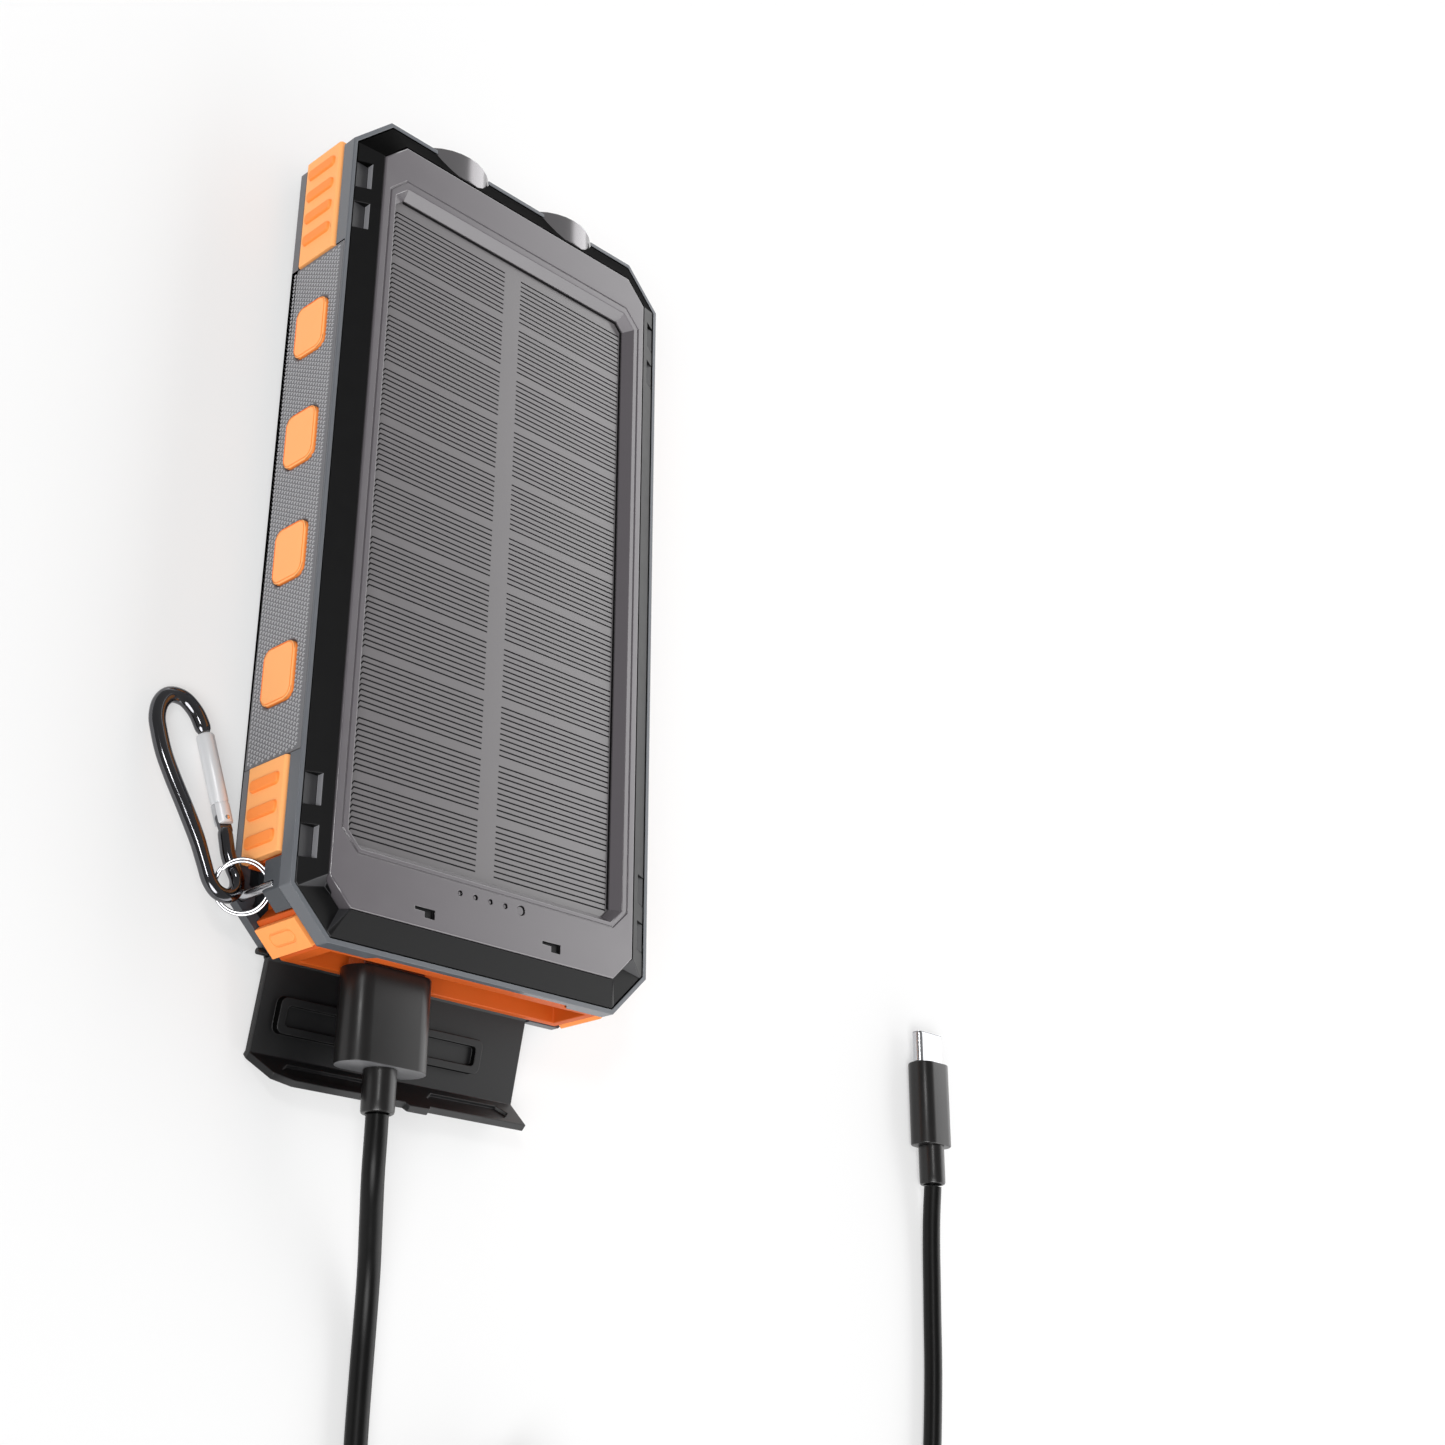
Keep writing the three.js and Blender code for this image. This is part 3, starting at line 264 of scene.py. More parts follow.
TORCH_LOOK = Look("torch_housing_satin", srgb(130, 128, 130), 0.2, 0.7)
GATE_LOOK = Look("gate_satin_metal", srgb(214, 215, 217), 0.34, 0.2)
LOOKS = {
    "mauve": moulded("mauve_plastic", srgb(88, 84, 88), 0.15, 0.006, Specular_IOR_Level=1.0),
    # painted light: a lighter, duller copy of the mauve for the one facet that catches the light
    "satin_painted_light_mauve": moulded("mauve_satin_plastic", srgb(112, 108, 112), 0.5, 0.006),
    "panel": moulded("solar_resin", srgb(95, 92, 94), 0.15, 0.006, Specular_IOR_Level=1.0),
    "panel_line": moulded("solar_finger", srgb(15, 14, 16), 0.6, 0.01, Specular_IOR_Level=0.1),
    "light_grey": moulded("light_grey_plastic", srgb(92, 95, 100), 0.22, 0.006),
    "dark_grey": moulded("dark_grey_plastic", srgb(60, 64, 69), 0.32, 0.01),
    "torch": TORCH_LOOK.vary_roughness(350, 0.03).material,
    "strip": moulded("woven_grey_rubber", srgb(103, 103, 106), 0.55, 0.01),
    "strip_thread": moulded("raised_grey_thread", srgb(162, 162, 165), 0.5, 0.01),
    "band": moulded("black_band_rubber", srgb(10, 10, 11), 0.38, 0.01, Specular_IOR_Level=0.22),
    # painted shade: a flat black with almost no reflection, laid on faces that lie in shade or
    # shadow
    "shade": moulded("painted_shade_black", srgb(8, 8, 8), 0.7, 0.01, Specular_IOR_Level=0.02),
    # painted light: the black band's pocket floors get a lit dark grey and their inner walls a
    # brighter grey highlight
    "pocket_floor": moulded("painted_light_pocket_floor", srgb(52, 52, 54), 0.45, 0.01),
    "pocket_wall": moulded("painted_highlight_pocket_wall", srgb(138, 138, 142), 0.35, 0.01),
    "cover": moulded("black_cover_rubber", srgb(20, 20, 21), 0.4, 0.005, Specular_IOR_Level=0.35),
    "black": moulded("black_plug_plastic", srgb(21, 20, 20), 0.3, 0.003, Specular_IOR_Level=0.45),
    # painted reflection: grey for the black plug's end face, standing in for the light it reflects
    "plug_end": moulded("painted_reflection_plug_end", srgb(96, 96, 98), 0.4, 0.004),
    "cable": moulded("black_cable_jacket", srgb(8, 8, 8), 0.36, 0.004, Specular_IOR_Level=0.2),
    "orange": bright_orange("light_orange_rubber", srgb(255, 175, 107)),
    # a darker orange for the bumpers' ridges, and painted shade on the pads' side walls
    "ridge": bright_orange("ridge_orange_and_painted_edge_shade", srgb(255, 143, 66)),
    "deep_orange": bright_orange("deep_orange_rubber", srgb(198, 86, 22)),
    # painted shade: a darker copy of the light orange for the corner plates
    "painted_shade_plate_orange": bright_orange("plate_orange_rubber", srgb(255, 158, 86)),
    "dark_chrome": polished("dark_chrome", srgb(96, 96, 99), 0.1),
    "bright_chrome": polished("bright_chrome", srgb(232, 233, 236), 0.12),
    "gate": GATE_LOOK.vary_colour(120, 0.03).material,
    "ring_chrome": polished("ring_chrome", srgb(150, 150, 153), 0.16),
    "steel": polished("nickel_steel", srgb(196, 197, 200), 0.25),
    "mirror": polished("reflector_mirror", srgb(235, 236, 238), 0.06),
    "foil": polished("cell_foil", srgb(178, 180, 184), 0.4),
    "circuit": moulded("circuit_board", srgb(20, 88, 56), 0.4, 0.01),
    "lens": clear_plastic("lens_plastic", (0.96, 0.97, 0.98), 0.04),
    "phosphor": moulded("led_phosphor", srgb(240, 214, 70), 0.4, 0.01),
}

# ---------------------------------------------------------------- mesh helpers


def new_piece(name, mesh, look, body):
    """Link a mesh as a piece that rides on a body."""
    piece = bpy.data.objects.new(name, mesh)
    bpy.context.scene.collection.objects.link(piece)
    mesh.materials.clear()
    mesh.materials.append(LOOKS[look])
    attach(piece, body)
    return piece


def stand_in(name, mesh, look, node):
    """A piece that replaces one CAD node, on that node's body."""
    piece = new_piece(name, mesh, look, BODY_OF[node])
    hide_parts(node)
    return piece


def mesh_of(name, points, faces, smooth_angle=35.0):
    """A mesh from points in millimetres, shaded smooth except at edges sharper than the angle."""
    mesh = bpy.data.meshes.new(name)
    mesh.from_pydata([tuple(p) for p in np.asarray(points) * MM], [], [tuple(f) for f in faces])
    mesh.validate()
    work = bmesh.new()
    work.from_mesh(mesh)
    bmesh.ops.recalc_face_normals(work, faces=work.faces)
    work.to_mesh(mesh)
    work.free()
    mesh.shade_smooth()
    mesh.set_sharp_from_angle(angle=math.radians(smooth_angle))
    return mesh


EASED_ANGLE = 40  # edges that turn by more degrees are rounded over
FLAT_WEIGHT = 80  # how much larger faces decide the shading at their edges


def eased(mesh, width, segments):
    """Round a mesh's edges over by width millimetres and keep its flat faces flat."""
    mesh.shade_smooth()
    holder = bpy.data.objects.new("holder", mesh)
    bpy.context.scene.collection.objects.link(holder)
    bevel = holder.modifiers.new("bevel", "BEVEL")
    bevel.width = width * MM
    bevel.segments = segments
    bevel.limit_method = "ANGLE"
    bevel.angle_limit = math.radians(EASED_ANGLE)
    bevel.use_clamp_overlap = False
    bevel.loop_slide = False
    flat = holder.modifiers.new("flat", "WEIGHTED_NORMAL")
    flat.weight = FLAT_WEIGHT
    graph = bpy.context.evaluated_depsgraph_get()
    result = bpy.data.meshes.new_from_object(holder.evaluated_get(graph))
    bpy.data.objects.remove(holder)
    keep_flats(result)
    return result


LEAST_FLAT = 0.5e-6  # square metres
CURVE_STEP = (0.01, 0.45)  # angle between the facets of one curved surface, in radians
NEIGHBOUR_SHARE = 0.2  # a neighbour with less than this share of a face's area doesn't count


def keep_flats(mesh):
    """Give every larger flat face its own normal, unless it is a facet of a curved surface."""
    work = bmesh.new()
    work.from_mesh(mesh)
    areas = [face.calc_area() for face in work.faces]
    normals = [Vector(corner.vector) for corner in mesh.corner_normals]
    for face in work.faces:
        area = areas[face.index]
        beside = [other for edge in face.edges for other in edge.link_faces if other is not face]
        wide = [other for other in beside if areas[other.index] > NEIGHBOUR_SHARE * area]
        turns = [other.normal.angle(face.normal, 0.0) for other in wide]
        curved = any(CURVE_STEP[0] < turn < CURVE_STEP[1] for turn in turns)
        if area > LEAST_FLAT and not curved:
            for corner in mesh.polygons[face.index].loop_indices:
                normals[corner] = face.normal.copy()
    work.free()
    mesh.normals_split_custom_set(normals)


WELD = 2e-6  # metres between points that are joined
SLIVER = 5e-6  # metres, the length of edges that are removed
SAME_PLANE = 0.6  # degrees between faces that are joined


def cad_mesh(node):
    """A clean copy of a CAD node's mesh, with its flat faces whole again."""
    mesh = frame["nodes"][node].data.copy()
    work = bmesh.new()
    work.from_mesh(mesh)
    bmesh.ops.remove_doubles(work, verts=work.verts, dist=WELD)
    bmesh.ops.dissolve_degenerate(work, edges=work.edges, dist=SLIVER)
    bmesh.ops.dissolve_limit(
        work, angle_limit=math.radians(SAME_PLANE), verts=work.verts, edges=work.edges
    )
    work.to_mesh(mesh)
    work.free()
    return mesh


def refine(node, look, width, segments=2):
    """Replace a CAD node by its own shape with eased edges."""
    return stand_in(f"{node}_skin", eased(cad_mesh(node), width, segments), look, node)


def loft(rings, closed=True, caps=True):
    """Points and faces through rings of equally many points."""
    count = len(rings[0])
    points = [p for ring in rings for p in ring]
    faces = []
    for ring in range(len(rings) - 1):
        for i in range(count if closed else count - 1):
            a = ring * count + i
            b = ring * count + (i + 1) % count
            faces.append((a, b, b + count, a + count))
    if caps:
        faces.append(tuple(reversed(range(count))))
        faces.append(tuple(range((len(rings) - 1) * count, len(rings) * count)))
    return points, faces


def rounded_outline(half_x, half_z, radius, steps=12):
    """A rounded rectangle as (x, z) pairs, anticlockwise."""
    outline = []
    for sign_x, sign_z, start in ((1, 1, 0), (-1, 1, 90), (-1, -1, 180), (1, -1, 270)):
        for i in range(steps + 1):
            angle = math.radians(start + 90 * i / steps)
            outline.append((
                sign_x * (half_x - radius) + radius * math.cos(angle),
                sign_z * (half_z - radius) + radius * math.sin(angle),
            ))
    return outline


def bar_along_y(x, z, half_x, half_z, radius, y0, y1, edge):
    """A rounded bar along Y whose end edges are rounded over by edge."""
    rings = []
    turns = [math.radians(a) for a in (0, 22.5, 45, 67.5, 90)]
    sections = [(y0 + edge * (1 - math.sin(a)), edge * (1 - math.cos(a))) for a in reversed(turns)]
    sections += [(y1 - edge * (1 - math.sin(a)), edge * (1 - math.cos(a))) for a in turns]
    for y, inset in sections:
        outline = rounded_outline(half_x - inset, half_z - inset, max(radius - inset, 0.1))
        rings.append([(x + dx, y, z + dz) for dx, dz in outline])
    return loft(rings)


def turned_y(x, z, profile, sides=48, caps=True):
    """A turned shape along Y; profile is a list of (y, radius)."""
    rings = []
    for y, radius in profile:
        angles = [2 * math.pi * i / sides for i in range(sides)]
        rings.append([(x + radius * math.cos(a), y, z + radius * math.sin(a)) for a in angles])
    return loft(rings, caps=caps)


def smooth_path(points, step):
    """A centripetal Catmull-Rom curve through points, sampled about every step millimetres."""
    p = np.array(points, float)
    p = np.vstack([2 * p[0] - p[1], p, 2 * p[-1] - p[-2]])
    out = []
    for p0, p1, p2, p3 in zip(p, p[1:], p[2:], p[3:]):
        d0, d1, d2 = (math.sqrt(np.linalg.norm(b - a)) for a, b in ((p0, p1), (p1, p2), (p2, p3)))
        m1 = ((p1 - p0) / d0 - (p2 - p0) / (d0 + d1) + (p2 - p1) / d1) * d1
        m2 = ((p2 - p1) / d1 - (p3 - p1) / (d1 + d2) + (p3 - p2) / d2) * d1
        count = max(2, round(np.linalg.norm(p2 - p1) / step))
        for t in np.arange(count) / count:
            t2, t3 = t * t, t * t * t
            out.append((2 * t3 - 3 * t2 + 1) * p1 + (t3 - 2 * t2 + t) * m1
                       + (3 * t2 - 2 * t3) * p2 + (t3 - t2) * m2)
    out.append(p[-2])
    return np.array(out)


def tube(path, section, up, scale=None):
    """Sweep a section, a list of (across, up) offsets, along a path; scale widens it by place."""
    path = np.asarray(path, float)
    tangents = np.gradient(path, axis=0)
    tangents /= np.linalg.norm(tangents, axis=1)[:, None]
    rings = []
    for i, (centre, tangent) in enumerate(zip(path, tangents)):
        across = np.cross(tangent, up)
        across /= np.linalg.norm(across)
        lift = np.cross(across, tangent)
        wide, high = (1.0, 1.0) if scale is None else scale[i]
        rings.append([tuple(centre + wide * a * across + high * b * lift) for a, b in section])
    return loft(rings)


def round_section(radius, sides):
    angles = [2 * math.pi * i / sides for i in range(sides)]
    return [(radius * math.cos(a), radius * math.sin(a)) for a in angles]


# ---------------------------------------------------------------- charging cable

CABLE_DIAMETER = 3.7
CABLE_Z = CABLE_DIAMETER / 2 + 0.06
PLUG_X = -12.3
SOCKET_Z = 11.45
RELIEF_END = -98.95
LEAD_ROUTE = [
    (PLUG_X, RELIEF_END - 0.3, SOCKET_Z), (PLUG_X, RELIEF_END - 4, SOCKET_Z),
    (PLUG_X + 0.6, RELIEF_END - 9, 10.6), (PLUG_X + 3.2, RELIEF_END - 16, 7.4),
    (PLUG_X + 5.8, RELIEF_END - 23, 4.2), (PLUG_X + 7, RELIEF_END - 30, 2.5),
    (-5.1, -138, CABLE_Z + 0.1), (-5.1, -147, CABLE_Z), (-4.9, -157, CABLE_Z),
    (-5.2, -168, CABLE_Z), (-5.2, -176, CABLE_Z),
]
TAIL_ROUTE = [
    (28, -206.9, 4.4), (40, -207.05, 2.9), (52, -206.9, CABLE_Z + 0.25), (66, -206.7, CABLE_Z),
    (84, -205.5, CABLE_Z), (102, -200, CABLE_Z), (118, -188, CABLE_Z), (129, -172, CABLE_Z),
    (135, -152, CABLE_Z), (137.6, -132, CABLE_Z), (138.5, -113, CABLE_Z), (138.6, -98, 2.4),
    (138.5, -90.4, 3.2),
]
COIL_CENTRE = (24, -178)
COIL_RADII = (17.5, 21.3, 25.1)
COIL_TURNS = 5.25
TURN_POINTS = 20
STEP_WIDTH = 0.15  # share of a turn in which the cable moves over by one diameter
CLIMB_WIDTH = 1.6 * STEP_WIDTH
LOWER_TURNS = 3  # turns that lie on the floor, below the others
LAYER_GAP = 0.1
JOIN_WIDTH = 0.1  # share of a turn in which the lead comes in to the coil's radius
JOIN_RADIUS = 2.4  # how far outside the coil's radius the lead begins
RELIEF_RADIUS = 2.7
USB_A_HALF = (8.15, 3.6)  # half width and half height of the moulding
USB_C_HALF = (4.9, 3.1)
NEARLY_ALONG = 0.95  # a normal's share along an axis that counts as facing that way


def ease(t):
    """A smooth step from 0 to 1."""
    t = min(1.0, max(0.0, t))
    return t * t * (3 - 2 * t)


def coil_point(turn):
    """Where the cable is after so many turns: three turns inwards, then up and outwards again."""
    inner, middle, outer = COIL_RADII
    whole, part = divmod(turn, 1.0)
    inwards = ease((part - 1 + STEP_WIDTH) / STEP_WIDTH)
    outwards = ease((part - 1 + 3 * STEP_WIDTH) / STEP_WIDTH)
    steps = [
        (outer, middle, inwards), (middle, inner, inwards), (inner, inner, 0),
        (inner, middle, outwards), (middle, outer, outwards), (outer, outer, 0),
    ]
    start, end, share = steps[int(whole)]
    radius = start + (end - start) * share
    climb = ease((turn - LOWER_TURNS + 2 * STEP_WIDTH) / CLIMB_WIDTH)
    joining = 1 - ease(turn / JOIN_WIDTH)
    angle = math.pi + 2 * math.pi * turn
    radius += JOIN_RADIUS * joining
    return (
        COIL_CENTRE[0] + radius * math.cos(angle),
        COIL_CENTRE[1] + radius * math.sin(angle),
        CABLE_Z + (CABLE_DIAMETER + LAYER_GAP) * climb,
    )


def add_cable():
    turns = [coil_point(i / TURN_POINTS) for i in range(1, round(COIL_TURNS * TURN_POINTS))]
    route = LEAD_ROUTE + turns + TAIL_ROUTE
    data = bpy.data.curves.new("charging_cable", "CURVE")
    data.dimensions = "3D"
    data.bevel_depth = CABLE_DIAMETER / 2 * MM
    data.bevel_resolution = 5
    data.resolution_u = 5
    data.use_fill_caps = True
    spline = data.splines.new("BEZIER")
    spline.bezier_points.add(len(route) - 1)
    for point, place in zip(spline.bezier_points, route):
        point.co = Vector(place) * MM
        point.handle_left_type = point.handle_right_type = "AUTO"
    cable = bpy.data.objects.new("charging_cable", data)
    bpy.context.scene.collection.objects.link(cable)
    data.materials.append(LOOKS["cable"])
    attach(cable, "charger")
    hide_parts("cable_lead", "cable_coil", "cable_tail")
    return cable


def add_plug_moulding(node, x, z, half, edge):
    """The moulded grip of a plug, nearly half-round at its sides; edge rounds its ends over."""
    half_x, half_z = half
    points, faces = bar_along_y(x, z, half_x, half_z, half_z - 0.05, *cad_y(node), edge)
    return stand_in(f"{node}_moulding", mesh_of(node, points, faces), "black", node)


def add_strain_relief(node, x, z):
    """A plain collar, rounded and hollow at its mouth, where the cable leaves it."""
    y0, y1 = cad_y(node)
    profile = [
        (y0 + 1.2, 1.9), (y0 + 0.15, 1.95), (y0, 2.15), (y0, 2.4), (y0 + 0.12, 2.58),
        (y0 + 0.4, RELIEF_RADIUS - 0.02), (y0 + 2, RELIEF_RADIUS), (y1, RELIEF_RADIUS),
    ]
    points, faces = turned_y(x, z, profile)
    return stand_in(f"{node}_collar", mesh_of(node, points, faces), "black", node)


# The plug's end faces, which get a grey painted reflection.
def is_plug_end(x, y, z, normal):
    return normal.y < -NEARLY_ALONG


def add_charging_cable():
    cable = add_cable()
    moulding = add_plug_moulding("usb_a_plug", PLUG_X, SOCKET_Z, USB_A_HALF, edge=0.12)
    # painted reflection on the plug's end face
    add_look(moulding, "plug_end", is_plug_end)
    relief = add_strain_relief("usb_a_strain_relief", PLUG_X, SOCKET_Z)
    far_x, _, far_z = cad_centre("usb_c_plug")
    far = add_plug_moulding("usb_c_plug", far_x, far_z, USB_C_HALF, edge=0.3)
    far_relief = add_strain_relief("usb_c_strain_relief", far_x, far_z)
    shells = [
        refine("usb_a_plug_shell", "steel", width=0.15),
        refine("usb_c_plug_shell", "steel", width=0.3),
    ]
    tie = refine("cable_tie", "cover", width=0.35, segments=3)


# ---------------------------------------------------------------- casing

REFINED = {  # node: its look, and the width of its eased edges
    "rear_shell": ("dark_grey", 0.045), "mid_frame": ("deep_orange", 0.2),
    "front_shell": ("light_grey", 0.14), "front_band": ("band", 0.12),
    "front_bezel": ("mauve", 0.1), "lanyard_bracket": ("dark_grey", 0.2),
    "lanyard_post": ("steel", 0.12), "port_cover": ("cover", 0.16),
    "port_cover_pin": ("cover", 0.1), "usb_a_port_1": ("steel", 0.08),
    "usb_a_port_2": ("steel", 0.08), "usb_c_port": ("steel", 0.08),
    "usb_a_tongue_1": ("black", 0.1), "usb_a_tongue_2": ("black", 0.1),
    "torch_housing_left": ("torch", 0.18), "torch_housing_right": ("torch", 0.18),
    "indicator_light_guide": ("mauve", 0.05), "rear_screw_1": ("steel", 0.12),
    "rear_screw_2": ("steel", 0.12), "rear_screw_3": ("steel", 0.12),
    "rear_screw_4": ("steel", 0.12), "button_switch": ("black", 0.4),
    "battery_cell_rear": ("foil", 0.4), "battery_cell_front": ("foil", 0.4),
    "main_board": ("circuit", 0.4),
}
POCKET_X = (33.8, 36.8)
POCKET_Y = (61.9, 53.4, -53.4, -61.9)
POCKET_HALF = 2.75
POCKET_FLOOR_Z = 19.8  # the floors lie below this
POCKET_WALL_Z = 19.6  # the walls lie above this
POCKET_WALL_X = 34.2
CORNER_POCKET_X = (26, 37.5)
CORNER_POCKET_Y = -66.6
CORNER_POCKET_SLOPE = (0.2, 0.75)
BAND_END_Y = 62.5
FLAG_X = (11, 15.6)
FLAG_Y = (-69.7, -68)
BEZEL_TOP_Z = 21.95
INDICATORS = ((-6.65, 0.45), (-3.45, 0.45), (-0.28, 0.45), (2.9, 0.45), (6.3, 0.85))  # x, radius
INDICATOR_Y = -64
HOLE_MARGIN = 0.02
SEAL_PLACE = (-6.9, -84.3)
SEAL_HALF = (20.7, 3.3)
SEAL_BASE_Z = 2
RIM_BASE_Z = 16
FAR_CORNER = (20, 55)
UNDER_STRIP = (36, 54, 6)  # beyond this X, and within this Y and Z


def add_look(piece, look, chosen):
    """Give a second look to the faces for which chosen(x, y, z, normal) holds, in millimetres."""
    piece.data.materials.append(LOOKS[look])
    index = len(piece.data.materials) - 1
    for face in piece.data.polygons:
        if chosen(*(face.center / MM), face.normal):
            face.material_index = index


def in_pocket(x, y):
    return POCKET_X[0] < abs(x) < POCKET_X[1] and any(abs(y - at) < POCKET_HALF for at in POCKET_Y)


def is_pocket_floor(x, y, z, normal):
    """The floors of the side pockets and the sloping walls of the corner ones, painted a lit grey
    on the black band as painted light.
    """
    in_corner = y < CORNER_POCKET_Y and CORNER_POCKET_X[0] < abs(x) < CORNER_POCKET_X[1]
    is_floor = in_pocket(x, y) and z < POCKET_FLOOR_Z and normal.z > NEARLY_ALONG
    is_slope = in_corner and CORNER_POCKET_SLOPE[0] < normal.z < CORNER_POCKET_SLOPE[1]
    return is_slope or is_floor


def is_pocket_wall(x, y, z, normal):
    """The pockets' walls nearest to the panel, painted a brighter grey as a painted highlight."""
    is_inner = z > POCKET_WALL_Z and abs(x) < POCKET_WALL_X
    return in_pocket(x, y) and is_inner and abs(normal.x) > 0.8


def is_band_end(x, y, z, normal):
    """The end of the band at the torches, painted flat black as painted shade."""
    return y > BAND_END_Y


def is_small_recess(x, y, z, normal):
    """Insides of the flag-shaped recesses and of the indicator holes in the bezel: the holes' walls
    are painted black as painted shade, the recesses are painted black.
    """
    if FLAG_Y[0] < y < FLAG_Y[1] and FLAG_X[0] < abs(x) < FLAG_X[1] and z < BEZEL_TOP_Z:
        return True
    if abs(normal.z) > 0.5:
        return False
    return any(
        math.hypot(x - at, y - INDICATOR_Y) < radius + HOLE_MARGIN for at, radius in INDICATORS
    )


def is_seal_wall(x, y, z, normal):
    """The sides of the port cover's raised seal and of the recess in it, painted black as painted
    shadow.
    """
    near = abs(x - SEAL_PLACE[0]) < SEAL_HALF[0] and abs(y - SEAL_PLACE[1]) < SEAL_HALF[1]
    return near and abs(normal.z) < 0.7 and z > SEAL_BASE_Z


def is_inner_rim(x, y, z, normal):
    """The walls round the bezel that face the middle of the charger, painted black as painted
    shade.
    """
    return z > RIM_BASE_Z and normal.z < 0.8 and x * normal.x + y * normal.y < 0


def is_far_corner(x, y, z, normal):
    """The slanting facet at the top right corner of the panel's opening, painted a lighter mauve as
    painted light.
    """
    near = x > FAR_CORNER[0] and y > FAR_CORNER[1]
    return near and normal.x < -0.2 and normal.y < -0.2 and normal.z > 0.1


def is_under_strip(x, y, z, normal):
    """The rear shell's long sides below the side strips, which lie in shade; they are painted in
    the strip's lighter grey as painted light.
    """
    beyond_x, within_y, within_z = UNDER_STRIP
    return abs(x) > beyond_x and abs(y) < within_y and z < within_z and abs(normal.x) > 0.3


# Most of these are painted light and shade: painted shade on the band's end, the bezel's holes, the
# inner rim and the seal walls; painted light on the pockets, the far corner facet and the shell
# under the strips.
SECOND_LOOKS = {  # node: further looks, and what tells the faces that have them
    "front_band": (
        ("shade", is_band_end), ("pocket_floor", is_pocket_floor), ("pocket_wall", is_pocket_wall),
    ),
    "front_bezel": (("band", is_small_recess), ("satin_painted_light_mauve", is_far_corner)),
    "front_shell": (("shade", is_inner_rim),),
    "port_cover": (("shade", is_seal_wall),),
    "rear_shell": (("strip", is_under_strip),),
}


def add_casing():
    for node, (look, width) in REFINED.items():
        piece = refine(node, look, width)
        for second_look, chosen in SECOND_LOOKS.get(node, ()):
            add_look(piece, second_look, chosen)


PAD_NODES = [f"grip_pad_left_{i + 1}" for i in range(4)]
PAD_NODES += [f"grip_pad_right_{i + 1}" for i in range(3)] + ["power_button"]
BUMPER_NODES = ["bumper_top_left", "bumper_top_right", "bumper_bottom_left", "bumper_bottom_right"]
RIDGE_BASE_X = 37.88  # the bumpers' faces lie nearer to the middle than this, their ridges beyond


# The pads' side walls, which get the darker orange as painted shade.
def is_pad_edge(x, y, z, normal):
    return abs(normal.x) < 0.5


def is_ridge(x, y, z, normal):
    return abs(x) > RIDGE_BASE_X


def add_orange_trim():
    for node in PAD_NODES:
        piece = refine(node, "orange", width=0.28, segments=3)
        # painted shade on the pads' side walls
        add_look(piece, "ridge", is_pad_edge)
    for node in BUMPER_NODES:
        piece = refine(node, "orange", width=0.22, segments=3)
        add_look(piece, "ridge", is_ridge)
    # painted shade: the corner plates take a darker copy of the pads' orange
    for node in ("corner_plate_left", "corner_plate_right"):
        refine(node, "painted_shade_plate_orange", width=0.12, segments=3)


# ---------------------------------------------------------------- textured side strips

WEAVE_PITCH = (0.8, 0.8)  # along and across the strip
WEAVE_DEPTH = 0.2
THREAD_LEVEL = 0.08  # the relief above this is the lighter thread
RELIEF_STEP = 0.2
RELIEF_X = 37.45  # the strip's face
RELIEF_BASE = 0.02
RELIEF_MARGIN = 0.15  # plain border of the strip
RIM_RISE = 0.4  # width in which the weave comes up to its full depth
RIM_EDGE = (0.25, 0.1)  # width and depth of the rounded border
GROOVE_PLACE = 0.1  # distance of the groove's middle from a pad
GROOVE = (0.3, 0.4)  # half width and depth
UNDER_PAD = 0.3  # further depth under a pad
WEAVE_SHARPNESS = 60  # degrees
PAD_HALF = (5.1, 4.18)
PAD_RADIUS = 1.9


def distance_to_pad(y, z, centre):
    """Distance outside a pad's rounded outline; negative inside."""
    dy = abs(y - centre[0]) - PAD_HALF[0] + PAD_RADIUS
    dz = abs(z - centre[1]) - PAD_HALF[1] + PAD_RADIUS
    outside = np.hypot(np.maximum(dy, 0), np.maximum(dz, 0))
    return outside + np.minimum(np.maximum(dy, dz), 0) - PAD_RADIUS


def is_thread(x, y, z, normal):
    return abs(x) > RELIEF_X + THREAD_LEVEL


def weave_lift(y, z):
    """Height of the raised threads, sinking to nothing at the strip's border."""
    row = np.floor(z / WEAVE_PITCH[1])
    along = np.sin(math.pi * (y / WEAVE_PITCH[0] + row / 2)) ** 2
    height = along * np.sin(math.pi * z / WEAVE_PITCH[1]) ** 2
    rim = np.minimum.reduce([y - y[0, 0], y[-1, 0] - y, z - z[0, 0], z[0, -1] - z])
    lift = RELIEF_BASE + WEAVE_DEPTH * height * np.clip(rim / RIM_RISE, 0, 1)
    return lift - RIM_EDGE[1] * np.clip(1 - rim / RIM_EDGE[0], 0, 1)


